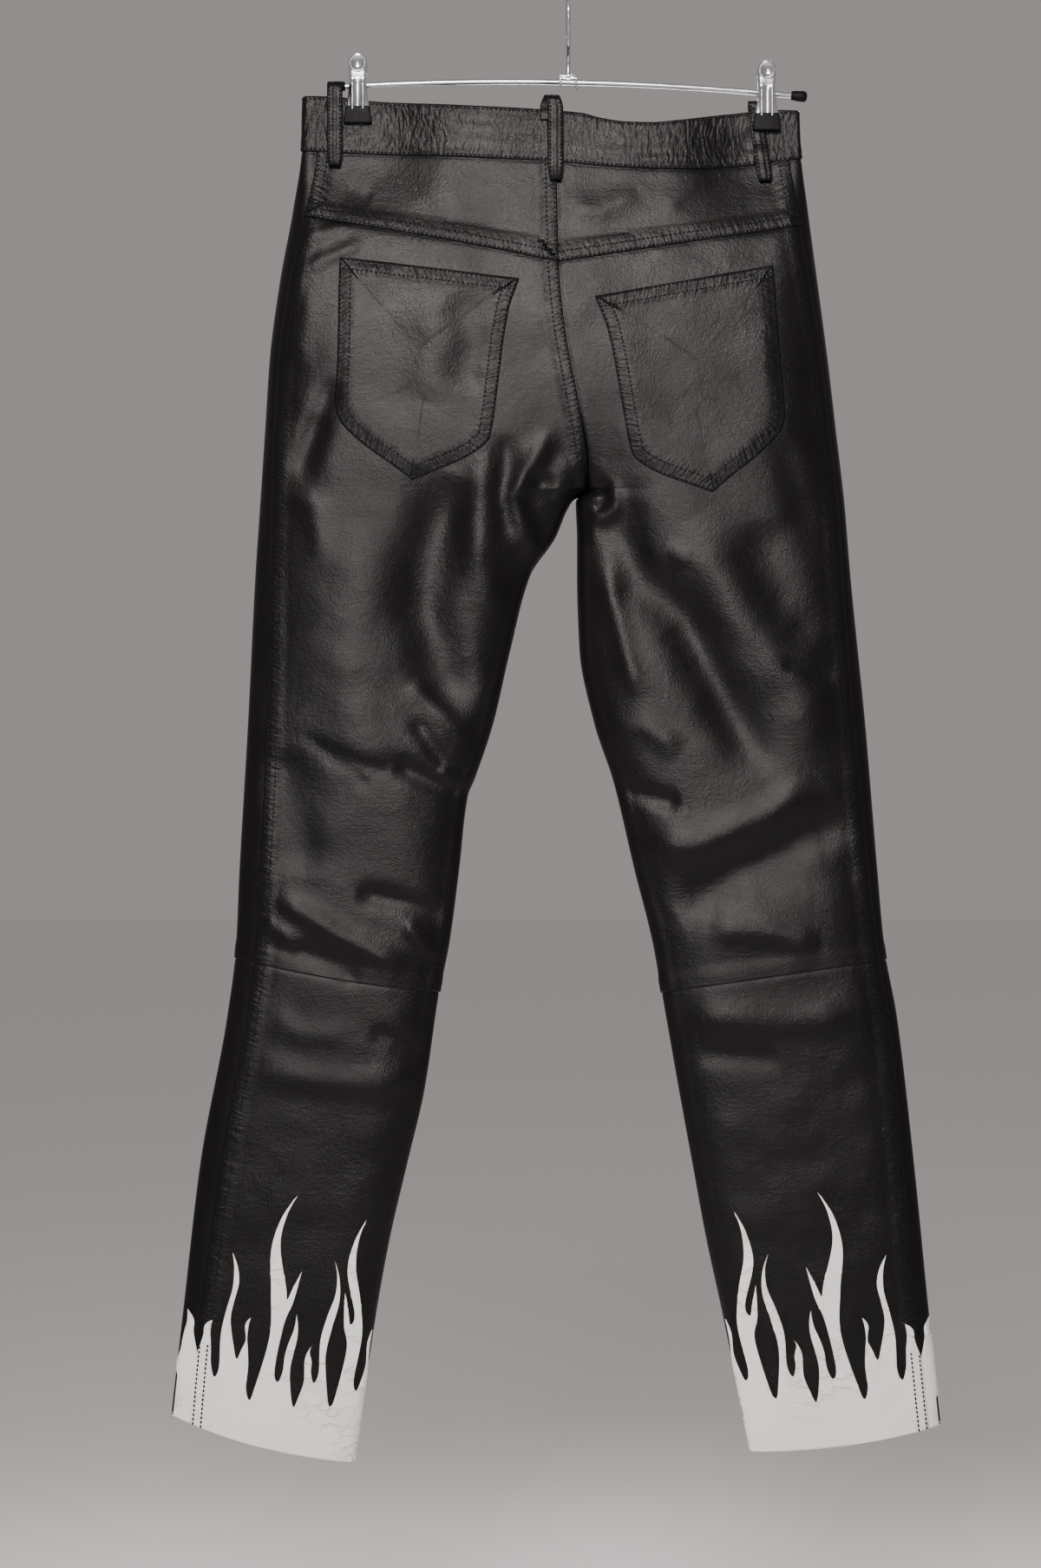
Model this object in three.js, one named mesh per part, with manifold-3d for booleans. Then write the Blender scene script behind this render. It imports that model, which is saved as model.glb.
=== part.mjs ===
// Leather trousers hung by the waistband from a metal clip hanger, in millimetres.
// +Z is up, +Y is the wearer's front, and -X is the wearer's left. The origin is the inside top of
// the hanger's hook, where it is held. The seat faces -Y.
//
// Every panel is a thin wall on one shared surface. That surface is made for each half of the
// garment: "around" runs from 0 at the centre back or back inseam, past 1 at the outer side, to 2 at
// the centre front or front inseam, and z is the height.
import * as THREE from "three";
import { mergeVertices } from "three/addons/utils/BufferGeometryUtils.js";
import Module from "manifold-3d";

const wasm = await Module();
wasm.setup();

// Driving dimensions
const LEATHER = 1.5;
const BAND_LEATHER = 2.4;
const BAND_PROUD = 0.4;
const SEAM_GAP = 0.3;
const LAID_ON = 0.3;
const CROTCH_Z = -410;
const SEAT_TURN_Z = -330;
const CLIP_HALF_DEPTH = 2.8;
const PINCH = { flatHalf: 13.5, fadeHalf: 62, flatDownTo: -121, fadeDownTo: -215 };
const CROWN = 0.16;
const LEAST_FOLD_WIDTH = 19;
const FRONT_RISE_DROP = 7;
const TAB = { length: 34, riseFrom: 0.72 };
const LOOP_WIDTH = 12;
const LOOP_THICKNESS = 1.8;
const LOOP_STEPS = 22;
const FRONT_LOOP_ARCH = 0.2;

const BACK_COLUMNS = 14;
const SIDE_COLUMNS = 3;
const FRONT_COLUMNS = 8;
const BAND_FRONT_COLUMNS = 14;
const BAND_ROWS = 3;
const YOKE_ROWS = 4;
const SEAT_STRAIGHT_ROWS = 5;
const SEAT_ARC_ROWS = 5;
const THIGH_ROWS = 16;
const SHIN_ROWS = 12;

const SIGN = { left: -1, right: 1 };
const OTHER = { left: "right", right: "left" };

// A table's rows as objects with named columns.
function table(columns, rows) {
  return rows.map((row) => Object.fromEntries(columns.map((name, i) => [name, row[i]])));
}

// Outer edge of each half seen from behind, and how far the side seam lies inside that edge.
const OUTER = table(
  ["z", "left", "right", "leftSeam", "rightSeam"],
  [
    [-70, -217, 188, 13, 10],
    [-130, -218, 190, 13, 10],
    [-180, -225, 196, 12, 9],
    [-240, -236, 204, 9, 7],
    [-300, -244, 212, 8, 6],
    [-360, -248, 219, 8, 6],
    [-420, -252, 226, 10, 6],
    [-480, -256, 231, 12, 7],
    [-600, -262, 243, 16, 9],
    [-720, -269, 253, 18, 7],
    [-785, -272, 259, 17, 6],
    [-840, -279, 269, 17, 7],
    [-960, -301, 283, 18, 9],
    [-1080, -315, 295, 16, 11],
    [-1210, -330, 309, 19, 12],
  ],
);

// Centre seams above the crotch, which drift to one side as they go under.
const CENTRE = table(
  ["z", "back", "front"],
  [
    [-70, -11, -2],
    [-226, -8, -2],
    [-280, -3, 0],
    [-335, 7, 4],
    [-378, 14, 10],
    [CROTCH_Z, 16, 16],
  ],
);

// Inner edge of each leg, below the crotch.
const INNER = table(
  ["z", "left", "right"],
  [
    [CROTCH_Z, 16, 16],
    [-420, 2, 7],
    [-450, -12, 8],
    [-480, -32, 8],
    [-540, -48, 10],
    [-600, -62, 22],
    [-645, -77, 37],
    [-660, -83, 41],
    [-720, -90, 55],
    [-780, -98, 70],
    [-820, -106, 77],
    [-900, -118, 91],
    [-960, -132, 102],
    [-1020, -146, 113],
    [-1080, -157, 126],
    [-1210, -176, 152],
  ],
);

// How far the back and the front stand from the middle plane, and how far in from an edge the
// surface takes to reach that depth.
const DEPTH = table(
  ["z", "back", "front", "edge"],
  [
    [-70, 12, 7, 10],
    [-130, 13, 8, 12],
    [-180, 18, 11, 24],
    [-240, 25, 14, 42],
    [-300, 29, 16, 55],
    [-360, 30, 18, 62],
    [-420, 28, 20, 62],
    [-480, 25, 20, 60],
    [-600, 22, 19, 56],
    [-720, 19, 17, 52],
    [-820, 17, 16, 48],
    [-960, 15, 14, 42],
    [-1080, 14, 13, 36],
    [-1210, 13, 12, 30],
  ],
);

// Top edge of the waistband, which sags between the clips.
const BAND_TOP = table(
  ["x", "z"],
  [
    [-230, -88],
    [-197, -88],
    [-160, -92],
    [-97, -96],
    [-39, -99],
    [-11, -101],
    [11, -103],
    [27, -107],
    [48, -110],
    [70, -110.5],
    [92, -108.5],
    [132, -103],
    [173, -99],
    [200, -100],
  ],
);

// Seam lines that run from the inner edge to the outer edge of each half, with their sag.
const LINES = {
  left: {
    waist: { inner: -143, outer: -133, sag: 0 },
    yoke: { inner: -226, outer: -186, sag: 2 },
    crotch: { inner: CROTCH_Z, outer: -415, sag: 0 },
    knee: { inner: -820, outer: -792, sag: -3 },
    hem: { inner: -1204, outer: -1165, sag: -6 },
  },
  right: {
    waist: { inner: -143, outer: -139, sag: -8 },
    yoke: { inner: -226, outer: -194, sag: 0 },
    crotch: { inner: CROTCH_Z, outer: -415, sag: 0 },
    knee: { inner: -820, outer: -793, sag: 0 },
    hem: { inner: -1195, outer: -1173, sag: -5 },
  },
};

// Folds as soft ridges (height over 0) and troughs (under 0) along straight runs.
const FOLDS = table(
  ["layer", "x0", "z0", "x1", "z1", "width", "height"],
  [
    ["back", -28, -257, -10, -342, 15, 4],
    ["back", -42, -240, -48, -330, 14, -5],
    ["back", -10, -363, -45, -415, 13, 5],
    ["back", -45, -415, -26, -463, 13, 5],
    ["back", -24, -410, -20, -445, 13, -4],
    ["back", -64, -406, -67, -463, 16, 4],
    ["back", -67, -463, -46, -505, 16, 4],
    ["back", -80, -430, -110, -548, 24, -6],
    ["back", -110, -548, -103, -612, 24, -5],
    ["back", -181, -470, -131, -718, 40, 4],
    ["back", -128, -600, -84, -648, 13, 4],
    ["back", -135, -640, -92, -668, 13, -4],
    ["back", -231, -715, -150, -742, 15, -4],
    ["back", -239, -746, -138, -797, 13, 4],
    ["back", -231, -839, -152, -889, 16, 3],
    ["back", -252, -896, -138, -912, 16, -3],
    ["back", 34, -430, 48, -491, 17, -5],
    ["back", 48, -491, 145, -647, 22, -6],
    ["back", 74, -434, 131, -520, 28, 4],
    ["back", 131, -520, 176, -600, 28, 4],
    ["back", 27, -463, 53, -619, 14, 4],
    ["back", 174, -463, 197, -527, 17, -3],
    ["back", 46, -658, 92, -666, 13, -4],
    ["back", 60, -711, 160, -690, 18, 4],
    ["back", 160, -690, 217, -658, 18, 3],
    ["back", 74, -742, 174, -713, 18, -4],
    ["back", 174, -713, 232, -690, 18, -4],
    ["back", 124, -772, 202, -775, 14, 3],
    ["back", 92, -838, 245, -836, 16, 3],
    ["back", -206, -378, -224, -449, 13, -3],
    ["back", 174, -378, 199, -449, 13, -3],
    ["back", 32, -182, 103, -145, 14, 3],
    ["front", -60, -400, -120, -360, 16, 4],
    ["front", 60, -405, 130, -370, 16, 4],
    ["front", -55, -440, -125, -430, 16, -4],
    ["front", 45, -445, 125, -440, 16, -4],
    ["front", -230, -560, -120, -600, 24, 3],
    ["front", 70, -600, 210, -560, 24, 3],
    ["front", -240, -700, -110, -730, 18, -4],
    ["front", 75, -720, 230, -700, 18, -4],
    ["front", -245, -745, -115, -760, 16, 4],
    ["front", 85, -755, 240, -748, 16, 4],
    ["front", -260, -860, -130, -890, 16, -3],
    ["front", 100, -890, 255, -860, 16, -3],
  ],
);

// Back pocket's pattern: from its outer top corner, inwards along the top edge and down.
const POCKET_OUTLINE = table(
  ["along", "down"],
  [
    [0, 0],
    [3, 31],
    [8, 77],
    [11, 115],
    [16, 131],
    [27, 141.5],
    [43, 152],
    [60, 161],
    [80.5, 173],
    [95, 165],
    [109.5, 157],
    [124, 148],
    [136.5, 136],
    [140, 123],
    [140.5, 76],
    [139.5, 45],
    [140.5, 30],
    [146, 9],
    [147, 0],
  ],
);
const POCKET_THICKNESS = 1.4;
const POCKET_CORNER = {
  left: { x: -186, z: -222, turn: 7 },
  right: { x: 166, z: -229, turn: 10 },
};

// Fly flap beside the front centre seam, with a curved lower end.
const FLY = { width: 36, top: -153, curveFrom: -270, bottom: -318, steps: 8, thickness: 1.2 };

// Belt loops: where each stands, on which layer, how far its top leans, and whether a clip presses it.
const LOOPS = table(
  ["name", "layer", "x", "lean", "pressed"],
  [
    ["belt_loop_back_left", "back", -190.5, 0, false],
    ["belt_loop_back_centre", "back", -10.5, 0, false],
    ["belt_loop_back_right", "back", 159, -6, true],
    ["belt_loop_front_left", "front", -98, 0, false],
    ["belt_loop_front_right", "front", 92, 0, false],
  ],
);

// Side view of a loop's middle line: out from the surface, and up from the waistband's top edge.
const LOOP_PATH = table(
  ["out", "up"],
  [
    [1.25, -8],
    [1.25, -3],
    [2.5, 2],
    [3.2, 7],
    [5.2, 10.3],
    [7.4, 7.6],
    [8, 2],
    [8, -14],
    [7.4, -34],
    [5.4, -43],
    [2.6, -48],
    [1.25, -51],
    [1.25, -58],
  ],
);
const PRESSED_LOOP_PATH = table(
  ["out", "up"],
  [
    [-1.2, 1.6],
    [-1, 4.5],
    [0.3, 7.6],
    [2, 6.8],
    [2.5, 3.4],
    [1.6, 0.2],
    [1.25, -2.5],
    [1.25, -18],
    [2.6, -26],
    [4.2, -36],
    [4.2, -42],
    [2.2, -48],
    [1.25, -51],
    [1.25, -58],
  ],
);

const BUTTON = { x: 13, z: -128, radius: 8.5, thickness: 2.6, shank: 3, shankTop: 1.4, sides: 20 };

// Clip hanger
const HOOK = { wire: 1.8, inside: 22.5, stemBottom: -73.1, stemTop: -62, tailZ: -34, head: 3, headLength: 0.7 };
const BAR = { radius: 2.5, halfLength: 195, middleZ: -76, tilt: -4, bow: -8, steps: 14 };
const CAP = { radius: 4.4, tipRadius: 3.6, length: 13, bore: 2.8 };
const BRACKET = { halfSpan: 6.4, ringWidth: 1.7, ringInner: 2.8, ringOuter: 4.4, plate: 1.2, plateDepth: 8.4, hole: 2.15 };
const CLIP = {
  top: 24.5,
  bottom: -32,
  headRadius: 7.8,
  neckHalf: 6.8,
  footHalf: 10.4,
  padHalf: 11.2,
  padHeight: 14,
  padThickness: 2.4,
  plate: 1,
  spread: 3.4,
  springInner: 2.8,
  springLength: 10,
};
const CLIPS = { left: { x: -172, extra: 0 }, right: { x: 162, extra: 2.35 } };
// Depth of the blocks that the clip plates are cut from.
const BLANK = 40;

// A smooth curve through a table's rows that never overshoots them.
function through(rows, from, to) {
  const xs = rows.map((row) => row[from]);
  const ys = rows.map((row) => row[to]);
  const order = xs[0] < xs[xs.length - 1] ? 1 : -1;
  const slopes = xs.slice(1).map((x, i) => (ys[i + 1] - ys[i]) / (x - xs[i]));
  const tangents = xs.map((x, i) => {
    if (i === 0) return slopes[0];
    if (i === xs.length - 1) return slopes[i - 1];
    const [before, after] = [slopes[i - 1], slopes[i]];
    return before * after <= 0 ? 0 : (2 * before * after) / (before + after);
  });
  return (x) => {
    let i = 0;
    while (i < xs.length - 2 && (x - xs[i + 1]) * order > 0) i += 1;
    const span = xs[i + 1] - xs[i];
    const u = Math.min(Math.max((x - xs[i]) / span, 0), 1);
    const [u2, u3] = [u * u, u * u * u];
    return (
      ys[i] * (2 * u3 - 3 * u2 + 1) +
      ys[i + 1] * (3 * u2 - 2 * u3) +
      tangents[i] * span * (u3 - 2 * u2 + u) +
      tangents[i + 1] * span * (u3 - u2)
    );
  };
}

const outerX = { left: through(OUTER, "z", "left"), right: through(OUTER, "z", "right") };
const seamInset = { left: through(OUTER, "z", "leftSeam"), right: through(OUTER, "z", "rightSeam") };
const innerX = { left: through(INNER, "z", "left"), right: through(INNER, "z", "right") };
const centreX = { back: through(CENTRE, "z", "back"), front: through(CENTRE, "z", "front") };
const depthAt = { back: through(DEPTH, "z", "back"), front: through(DEPTH, "z", "front") };
const edgeWidth = through(DEPTH, "z", "edge");
const bandTopZ = through(BAND_TOP, "x", "z");

function lerp(a, b, t) {
  return a + (b - a) * t;
}

function smoothstep(low, high, value) {
  const t = Math.min(Math.max((value - low) / (high - low), 0), 1);
  return t * t * (3 - 2 * t);
}

// Share of the way from the inner edge to the outer edge.
function shareOut(around) {
  return (1 - Math.cos(Math.PI * around)) / 2;
}

function aroundFromShare(share) {
  return Math.acos(1 - 2 * Math.min(Math.max(share, 0), 1)) / Math.PI;
}

// 0 where the two halves are open to each other, and 1 where each leg is a tube of its own.
function legClosure(z) {
  if (z >= SEAT_TURN_Z) return 0;
  const down = Math.min((SEAT_TURN_Z - z) / (SEAT_TURN_Z - CROTCH_Z), 1);
  return 1 - Math.sqrt(1 - down * down);
}

function innerEdgeX(side, layer, z) {
  return z > CROTCH_Z ? centreX[layer](z) : innerX[side](z);
}

// Depth of a rounded edge, from 0 at the edge to 1 at its full width.
function roundedEdge(distance, width) {
  const t = Math.min(Math.max(distance / width, 0), 1);
  return Math.sqrt(1 - (1 - t) * (1 - t));
}

function foldHeight(layer, x, z) {
  let height = 0;
  for (const fold of FOLDS) {
    if (fold.layer !== layer) continue;
    const [dx, dz] = [fold.x1 - fold.x0, fold.z1 - fold.z0];
    const along = Math.min(Math.max(((x - fold.x0) * dx + (z - fold.z0) * dz) / (dx * dx + dz * dz), 0), 1);
    const width = Math.max(fold.width, LEAST_FOLD_WIDTH);
    const away = Math.hypot(x - fold.x0 - along * dx, z - fold.z0 - along * dz) / width;
    if (away < 3) height += fold.height * Math.exp(-away * away);
  }
  return height;
}

// How strongly a clip presses the cloth flat at a place.
function clipPinch(x, z) {
  const away = Math.min(...Object.values(CLIPS).map((clip) => Math.abs(x - clip.x)));
  const across = 1 - smoothstep(PINCH.flatHalf, PINCH.fadeHalf, away);
  return across * smoothstep(PINCH.fadeDownTo, PINCH.flatDownTo, z);
}

// A point of the garment's outer surface.
function surface(side, around, z) {
  const layer = around > 1 ? "front" : "back";
  const share = shareOut(around);
  const inner = innerEdgeX(side, layer, z);
  const outer = outerX[side](z);
  const x = lerp(inner, outer, share);
  const width = Math.abs(outer - inner);
  const closure = legClosure(z);
  const outerEdge = roundedEdge((1 - share) * width, edgeWidth(z));
  const innerEdge = lerp(1, roundedEdge(share * width, edgeWidth(z)), closure);
  const crown = 1 - CROWN * lerp(share * share, (2 * share - 1) ** 2, closure);
  const rounding = outerEdge * innerEdge;
  const full = (depthAt[layer](z) * crown + foldHeight(layer, x, z) * Math.sqrt(rounding)) * rounding;
  const depth = lerp(full, CLIP_HALF_DEPTH * Math.min(rounding * 2, 1), clipPinch(x, z));
  return new THREE.Vector3(x, (layer === "front" ? 1 : -1) * depth, z);
}

// The same, past the centre seam or the inseam.
function surfacePast(side, around, z) {
  if (around >= 0 && around <= 2) return surface(side, around, z);
  const past = around < 0 ? -around : around - 2;
  if (z > CROTCH_Z) return surface(OTHER[side], around < 0 ? past : 2 - past, z);
  return surface(side, around < 0 ? 2 - past : past, z);
}

// Outward direction of the surface.
function outward(side, around, z) {
  const [aroundStep, heightStep] = [0.03, 3];
  const across = surfacePast(side, around + aroundStep, z).sub(surfacePast(side, around - aroundStep, z));
  const up = surfacePast(side, around, z + heightStep).sub(surfacePast(side, around, z - heightStep));
  return across.cross(up).multiplyScalar(SIGN[side]).normalize();
}

// A point of one layer, given by its place seen from behind.
function placeOn(layer, x, z) {
  const side = x < centreX[layer](Math.max(z, CROTCH_Z)) ? "left" : "right";
  const inner = innerEdgeX(side, layer, z);
  const around = aroundFromShare((x - inner) / (outerX[side](z) - inner));
  return { side, around: layer === "back" ? around : 2 - around, z };
}

function raised(place, height) {
  const point = surface(place.side, place.around, place.z);
  return point.addScaledVector(outward(place.side, place.around, place.z), height);
}

// Side seam's place around the section at a height.
function sideSeamAround(side, z) {
  const inner = innerEdgeX(side, "back", z);
  const width = Math.abs(outerX[side](z) - inner);
  return aroundFromShare(1 - seamInset[side](z) / width);
}

function seamZ(line, share) {
  return lerp(line.inner, line.outer, share) + line.sag * Math.sin(Math.PI * share);
}

// Rows between two seam lines: each is a line of its own.
function rowsBetween(from, to, count, ease = 1) {
  return Array.from({ length: count + 1 }, (_, i) => {
    const inner = (i / count) ** ease;
    return {
      inner: lerp(from.inner, to.inner, inner),
      outer: lerp(from.outer, to.outer, i / count),
      sag: lerp(from.sag, to.sag, i / count),
    };
  });
}

// Rows from a seam line down to the crotch, with the inner ends following the seat seam as it turns
// under.
function seatRows(from, crotch, straightCount) {
  const count = straightCount + SEAT_ARC_ROWS;
  return Array.from({ length: count + 1 }, (_, i) => {
    const turn = Math.max(i - straightCount, 0) / SEAT_ARC_ROWS;
    const straight = lerp(from.inner, SEAT_TURN_Z, Math.min(i / straightCount, 1));
    return {
      inner: straight + (CROTCH_Z - SEAT_TURN_Z) * Math.sin((turn * Math.PI) / 2),
      outer: lerp(from.outer, crotch.outer, i / count),
      sag: lerp(from.sag, crotch.sag, i / count),
    };
  });
}

const backColumns = Array.from({ length: BACK_COLUMNS + 1 }, (_, j) => (seam) => (seam * j) / BACK_COLUMNS);
// From the side seam over the edge, then on to the centre front.
function columnsPastSide(count) {
  return [
    ...Array.from({ length: SIDE_COLUMNS }, (_, j) => (seam) => lerp(seam, 1, j / SIDE_COLUMNS)),
    ...Array.from({ length: count + 1 }, (_, j) => () => 1 + j / count),
  ];
}

const frontColumns = columnsPastSide(FRONT_COLUMNS);

// Where a row line crosses a column, settled in a few passes because each depends on the other.
function crossing(side, row, column) {
  let z = row.outer;
  let around = 0;
  for (let pass = 0; pass < 6; pass += 1) {
    around = column(sideSeamAround(side, z));
    z = seamZ(row, shareOut(around));
  }
  return { side, around, z };
}

// Closed wall from a grid of outer points and outward directions, trimmed back at its seams.
function wallGeometry(points, normals, thickness, trims) {
  const rows = points.length;
  const columns = points[0].length;
  const outside = points.map((line) => line.map((p) => p.clone()));
  const pull = (i, j, ni, nj) => {
    const step = points[ni][nj].clone().sub(points[i][j]).normalize();
    outside[i][j].addScaledVector(step, SEAM_GAP / 2 + 0.03);
  };
  for (let i = 0; i < rows; i += 1) {
    if (trims.first) pull(i, 0, i, 1);
    if (trims.last) pull(i, columns - 1, i, columns - 2);
  }
  for (let j = 0; j < columns; j += 1) {
    if (trims.top) pull(0, j, 1, j);
    if (trims.bottom) pull(rows - 1, j, rows - 2, j);
  }
  const inside = outside.map((line, i) =>
    line.map((p, j) => p.clone().addScaledVector(normals[i][j], -thickness)),
  );
  const positions = [...outside.flat(), ...inside.flat()].flatMap((p) => p.toArray());
  const out = (i, j) => i * columns + j;
  const inn = (i, j) => rows * columns + i * columns + j;
  const index = [];
  const quad = (a, b, c, d) => index.push(a, b, c, a, c, d);
  for (let i = 0; i < rows - 1; i += 1) {
    for (let j = 0; j < columns - 1; j += 1) {
      quad(out(i, j), out(i + 1, j), out(i + 1, j + 1), out(i, j + 1));
      quad(inn(i, j), inn(i, j + 1), inn(i + 1, j + 1), inn(i + 1, j));
    }
    quad(out(i, 0), inn(i, 0), inn(i + 1, 0), out(i + 1, 0));
    quad(out(i, columns - 1), out(i + 1, columns - 1), inn(i + 1, columns - 1), inn(i, columns - 1));
  }
  for (let j = 0; j < columns - 1; j += 1) {
    quad(out(0, j), out(0, j + 1), inn(0, j + 1), inn(0, j));
    quad(out(rows - 1, j), inn(rows - 1, j), inn(rows - 1, j + 1), out(rows - 1, j + 1));
  }
  const geometry = new THREE.BufferGeometry();
  geometry.setAttribute("position", new THREE.Float32BufferAttribute(positions, 3));
  geometry.setIndex(index);
  return facingOut(geometry);
}

// The geometry with its faces turned outwards.
function facingOut(geometry) {
  const position = geometry.getAttribute("position");
  const index = geometry.index.array;
  const corner = (i) => new THREE.Vector3().fromBufferAttribute(position, index[i]);
  let volume = 0;
  for (let i = 0; i < index.length; i += 3) volume += corner(i).dot(corner(i + 1).cross(corner(i + 2)));
  if (volume < 0) {
    for (let i = 0; i < index.length; i += 3) [index[i + 1], index[i + 2]] = [index[i + 2], index[i + 1]];
  }
  return geometry;
}

// Grids of the panels' outer points by layer, for what is laid on them.
const grids = { back: [], front: [] };

// A wall from places on the surface, each with a lift of its own.
function wall(places, thickness, trims) {
  const points = places.map((line) => line.map((p) => raised(p, p.lift || 0)));
  const normals = places.map((line) => line.map((p) => outward(p.side, p.around, p.z)));
  return { points, normals, geometry: wallGeometry(points, normals, thickness, trims) };
}

function panel(side, rows, columns, layer, trims) {
  const made = wall(rows.map((row) => columns.map((column) => crossing(side, row, column))), LEATHER, trims);
  grids[layer].push(made);
  return made;
}

// Depth of the panels' outer facets at a place seen from behind.
function facetDepth(layer, x, z) {
  const facing = layer === "front" ? 1 : -1;
  const depths = [];
  const tryTriangle = (a, b, c) => {
    const area = (b.x - a.x) * (c.z - a.z) - (c.x - a.x) * (b.z - a.z);
    const u = ((x - a.x) * (c.z - a.z) - (c.x - a.x) * (z - a.z)) / area;
    const v = ((b.x - a.x) * (z - a.z) - (x - a.x) * (b.z - a.z)) / area;
    const edge = 1e-6;
    if (u >= -edge && v >= -edge && u + v <= 1 + edge) depths.push(facing * (a.y + u * (b.y - a.y) + v * (c.y - a.y)));
  };
  for (const { points } of grids[layer]) {
    for (let i = 0; i < points.length - 1; i += 1) {
      for (let j = 0; j < points[0].length - 1; j += 1) {
        tryTriangle(points[i][j], points[i + 1][j], points[i + 1][j + 1]);
        tryTriangle(points[i][j], points[i + 1][j + 1], points[i][j + 1]);
      }
    }
  }
  return Math.max(...depths);
}

// A piece laid on a panel: the panel's own points moved out, cut to an outline seen from behind.
function laidOn(grid, layer, outline, thickness) {
  const lift = LAID_ON + thickness;
  const points = grid.points.map((line, i) => line.map((p, j) => p.clone().addScaledVector(grid.normals[i][j], lift)));
  const sheet = solidOf(wallGeometry(points, grid.normals, thickness, {}));
  const reach = 60;
  const cutter = new THREE.ExtrudeGeometry(new THREE.Shape(outline), { depth: reach, bevelEnabled: false });
  cutter.rotateX(Math.PI / 2);
  if (layer === "front") cutter.translate(0, reach, 0);
  return geometryOf(sheet.intersect(solidOf(cutter)));
}

function frontLine(line) {
  return { ...line, inner: line.inner - FRONT_RISE_DROP };
}

// Height of the waistband's top edge, which is a little lower towards the centre front.
function topEdgeZ(layer, x) {
  if (layer === "back") return bandTopZ(x);
  const side = x < centreX.front(0) ? "left" : "right";
  const share = (x - centreX.front(0)) / (outerX[side](0) - centreX.front(0));
  return bandTopZ(x) - FRONT_RISE_DROP * (1 - Math.min(share, 1));
}

// Waistband of one half, from the centre back round the side to the centre front. The left one goes
// on past the centre front as the buttoned tab, which lies on the right one.
function waistband(side) {
  const line = LINES[side].waist;
  const around = [...backColumns, ...columnsPastSide(BAND_FRONT_COLUMNS).slice(1)];
  const places = Array.from({ length: BAND_ROWS + 1 }, (_, i) =>
    around.map((column, j) => {
      const foot = crossing(side, j <= BACK_COLUMNS ? line : frontLine(line), column);
      const layer = foot.around > 1 ? "front" : "back";
      const top = topEdgeZ(layer, surface(side, foot.around, foot.z).x);
      return { side, around: foot.around, z: lerp(top, foot.z, i / BAND_ROWS), lift: BAND_PROUD };
    }),
  );
  if (side === "left") {
    const over = BAND_PROUD + BAND_LEATHER + LAID_ON;
    for (const line of places) {
      const end = line.pop();
      const before = line[line.length - 1];
      line.push({ ...before, around: lerp(before.around, end.around, TAB.riseFrom) }, { ...end, lift: over });
      for (const reach of [TAB.length / 2, TAB.length]) {
        line.push({ ...placeOn("front", centreX.front(end.z) + reach, end.z), lift: over });
      }
    }
  }
  const made = wall(places, BAND_LEATHER, { first: true, last: side === "right", bottom: true });
  grids.back.push(made);
  grids.front.push(made);
  return made;
}

// Patch pocket on a back panel.
function pocket(side, grid) {
  const { x, z, turn } = POCKET_CORNER[side];
  const angle = THREE.MathUtils.degToRad(turn);
  const outline = POCKET_OUTLINE.map(({ along, down }) => {
    const inwards = along * Math.cos(angle) - down * Math.sin(angle);
    return new THREE.Vector2(x - SIGN[side] * inwards, z - along * Math.sin(angle) - down * Math.cos(angle));
  });
  return laidOn(grid, "back", outline, POCKET_THICKNESS);
}

function fly(grid) {
  const edge = (z) => new THREE.Vector2(centreX.front(z) - SEAM_GAP / 2, z);
  const { top, curveFrom, bottom, width, steps } = FLY;
  const outline = [new THREE.Vector2(edge(top).x - width, top), edge(top), edge(curveFrom), edge(bottom)];
  for (let i = 1; i <= steps; i += 1) {
    const angle = (i / steps) * (Math.PI / 2);
    const z = lerp(curveFrom, bottom, Math.cos(angle));
    outline.push(new THREE.Vector2(edge(z).x - width * Math.sin(angle), z));
  }
  return laidOn(grid, "front", outline, FLY.thickness);
}

// A ribbon of the loop's width along its side-view path, stood on the facets where it is sewn.
function beltLoop({ layer, x, lean, pressed }) {
  const rows = pressed ? PRESSED_LOOP_PATH : LOOP_PATH;
  // The front loops stand less high over the band's top edge.
  const arch = layer === "front" ? FRONT_LOOP_ARCH : 1;
  const path = new THREE.CatmullRomCurve3(
    rows.map(({ out, up }) => new THREE.Vector3(out, up > 0 ? up * arch : up, 0)),
  );
  const heights = Array.from({ length: LOOP_STEPS + 1 }, (_, i) => i / LOOP_STEPS);
  const aside = (t, sign) => {
    const [middle, along] = [path.getPoint(t), path.getTangent(t)];
    const half = (sign * LOOP_THICKNESS) / 2;
    return new THREE.Vector2(middle.x - along.y * half, middle.y + along.x * half);
  };
  const outline = [...heights.map((t) => aside(t, 1)), ...heights.reverse().map((t) => aside(t, -1))];
  const made = new THREE.ExtrudeGeometry(new THREE.Shape(outline), { depth: LOOP_WIDTH, bevelEnabled: false });
  made.translate(0, 0, -LOOP_WIDTH / 2);
  // The ribbon's own x is out of the surface, y is up and z is along the waist.
  const facing = layer === "front" ? 1 : -1;
  const topZ = topEdgeZ(layer, x + lean);
  const foot = rows[rows.length - 1].up;
  const position = made.getAttribute("position");
  for (let i = 0; i < position.count; i += 1) {
    const up = position.getY(i);
    const middle = x + lean * (1 - Math.min(up, 0) / foot);
    const across = middle + facing * position.getZ(i);
    const under = Math.min(topZ + up, topZ - 2);
    const depths = [-1, -0.5, 0, 0.5, 1].map((side) => facetDepth(layer, middle + (side * LOOP_WIDTH) / 2, under));
    position.setXYZ(i, across, facing * (position.getX(i) + Math.max(...depths)), topZ + up);
  }
  return made;
}

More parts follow.
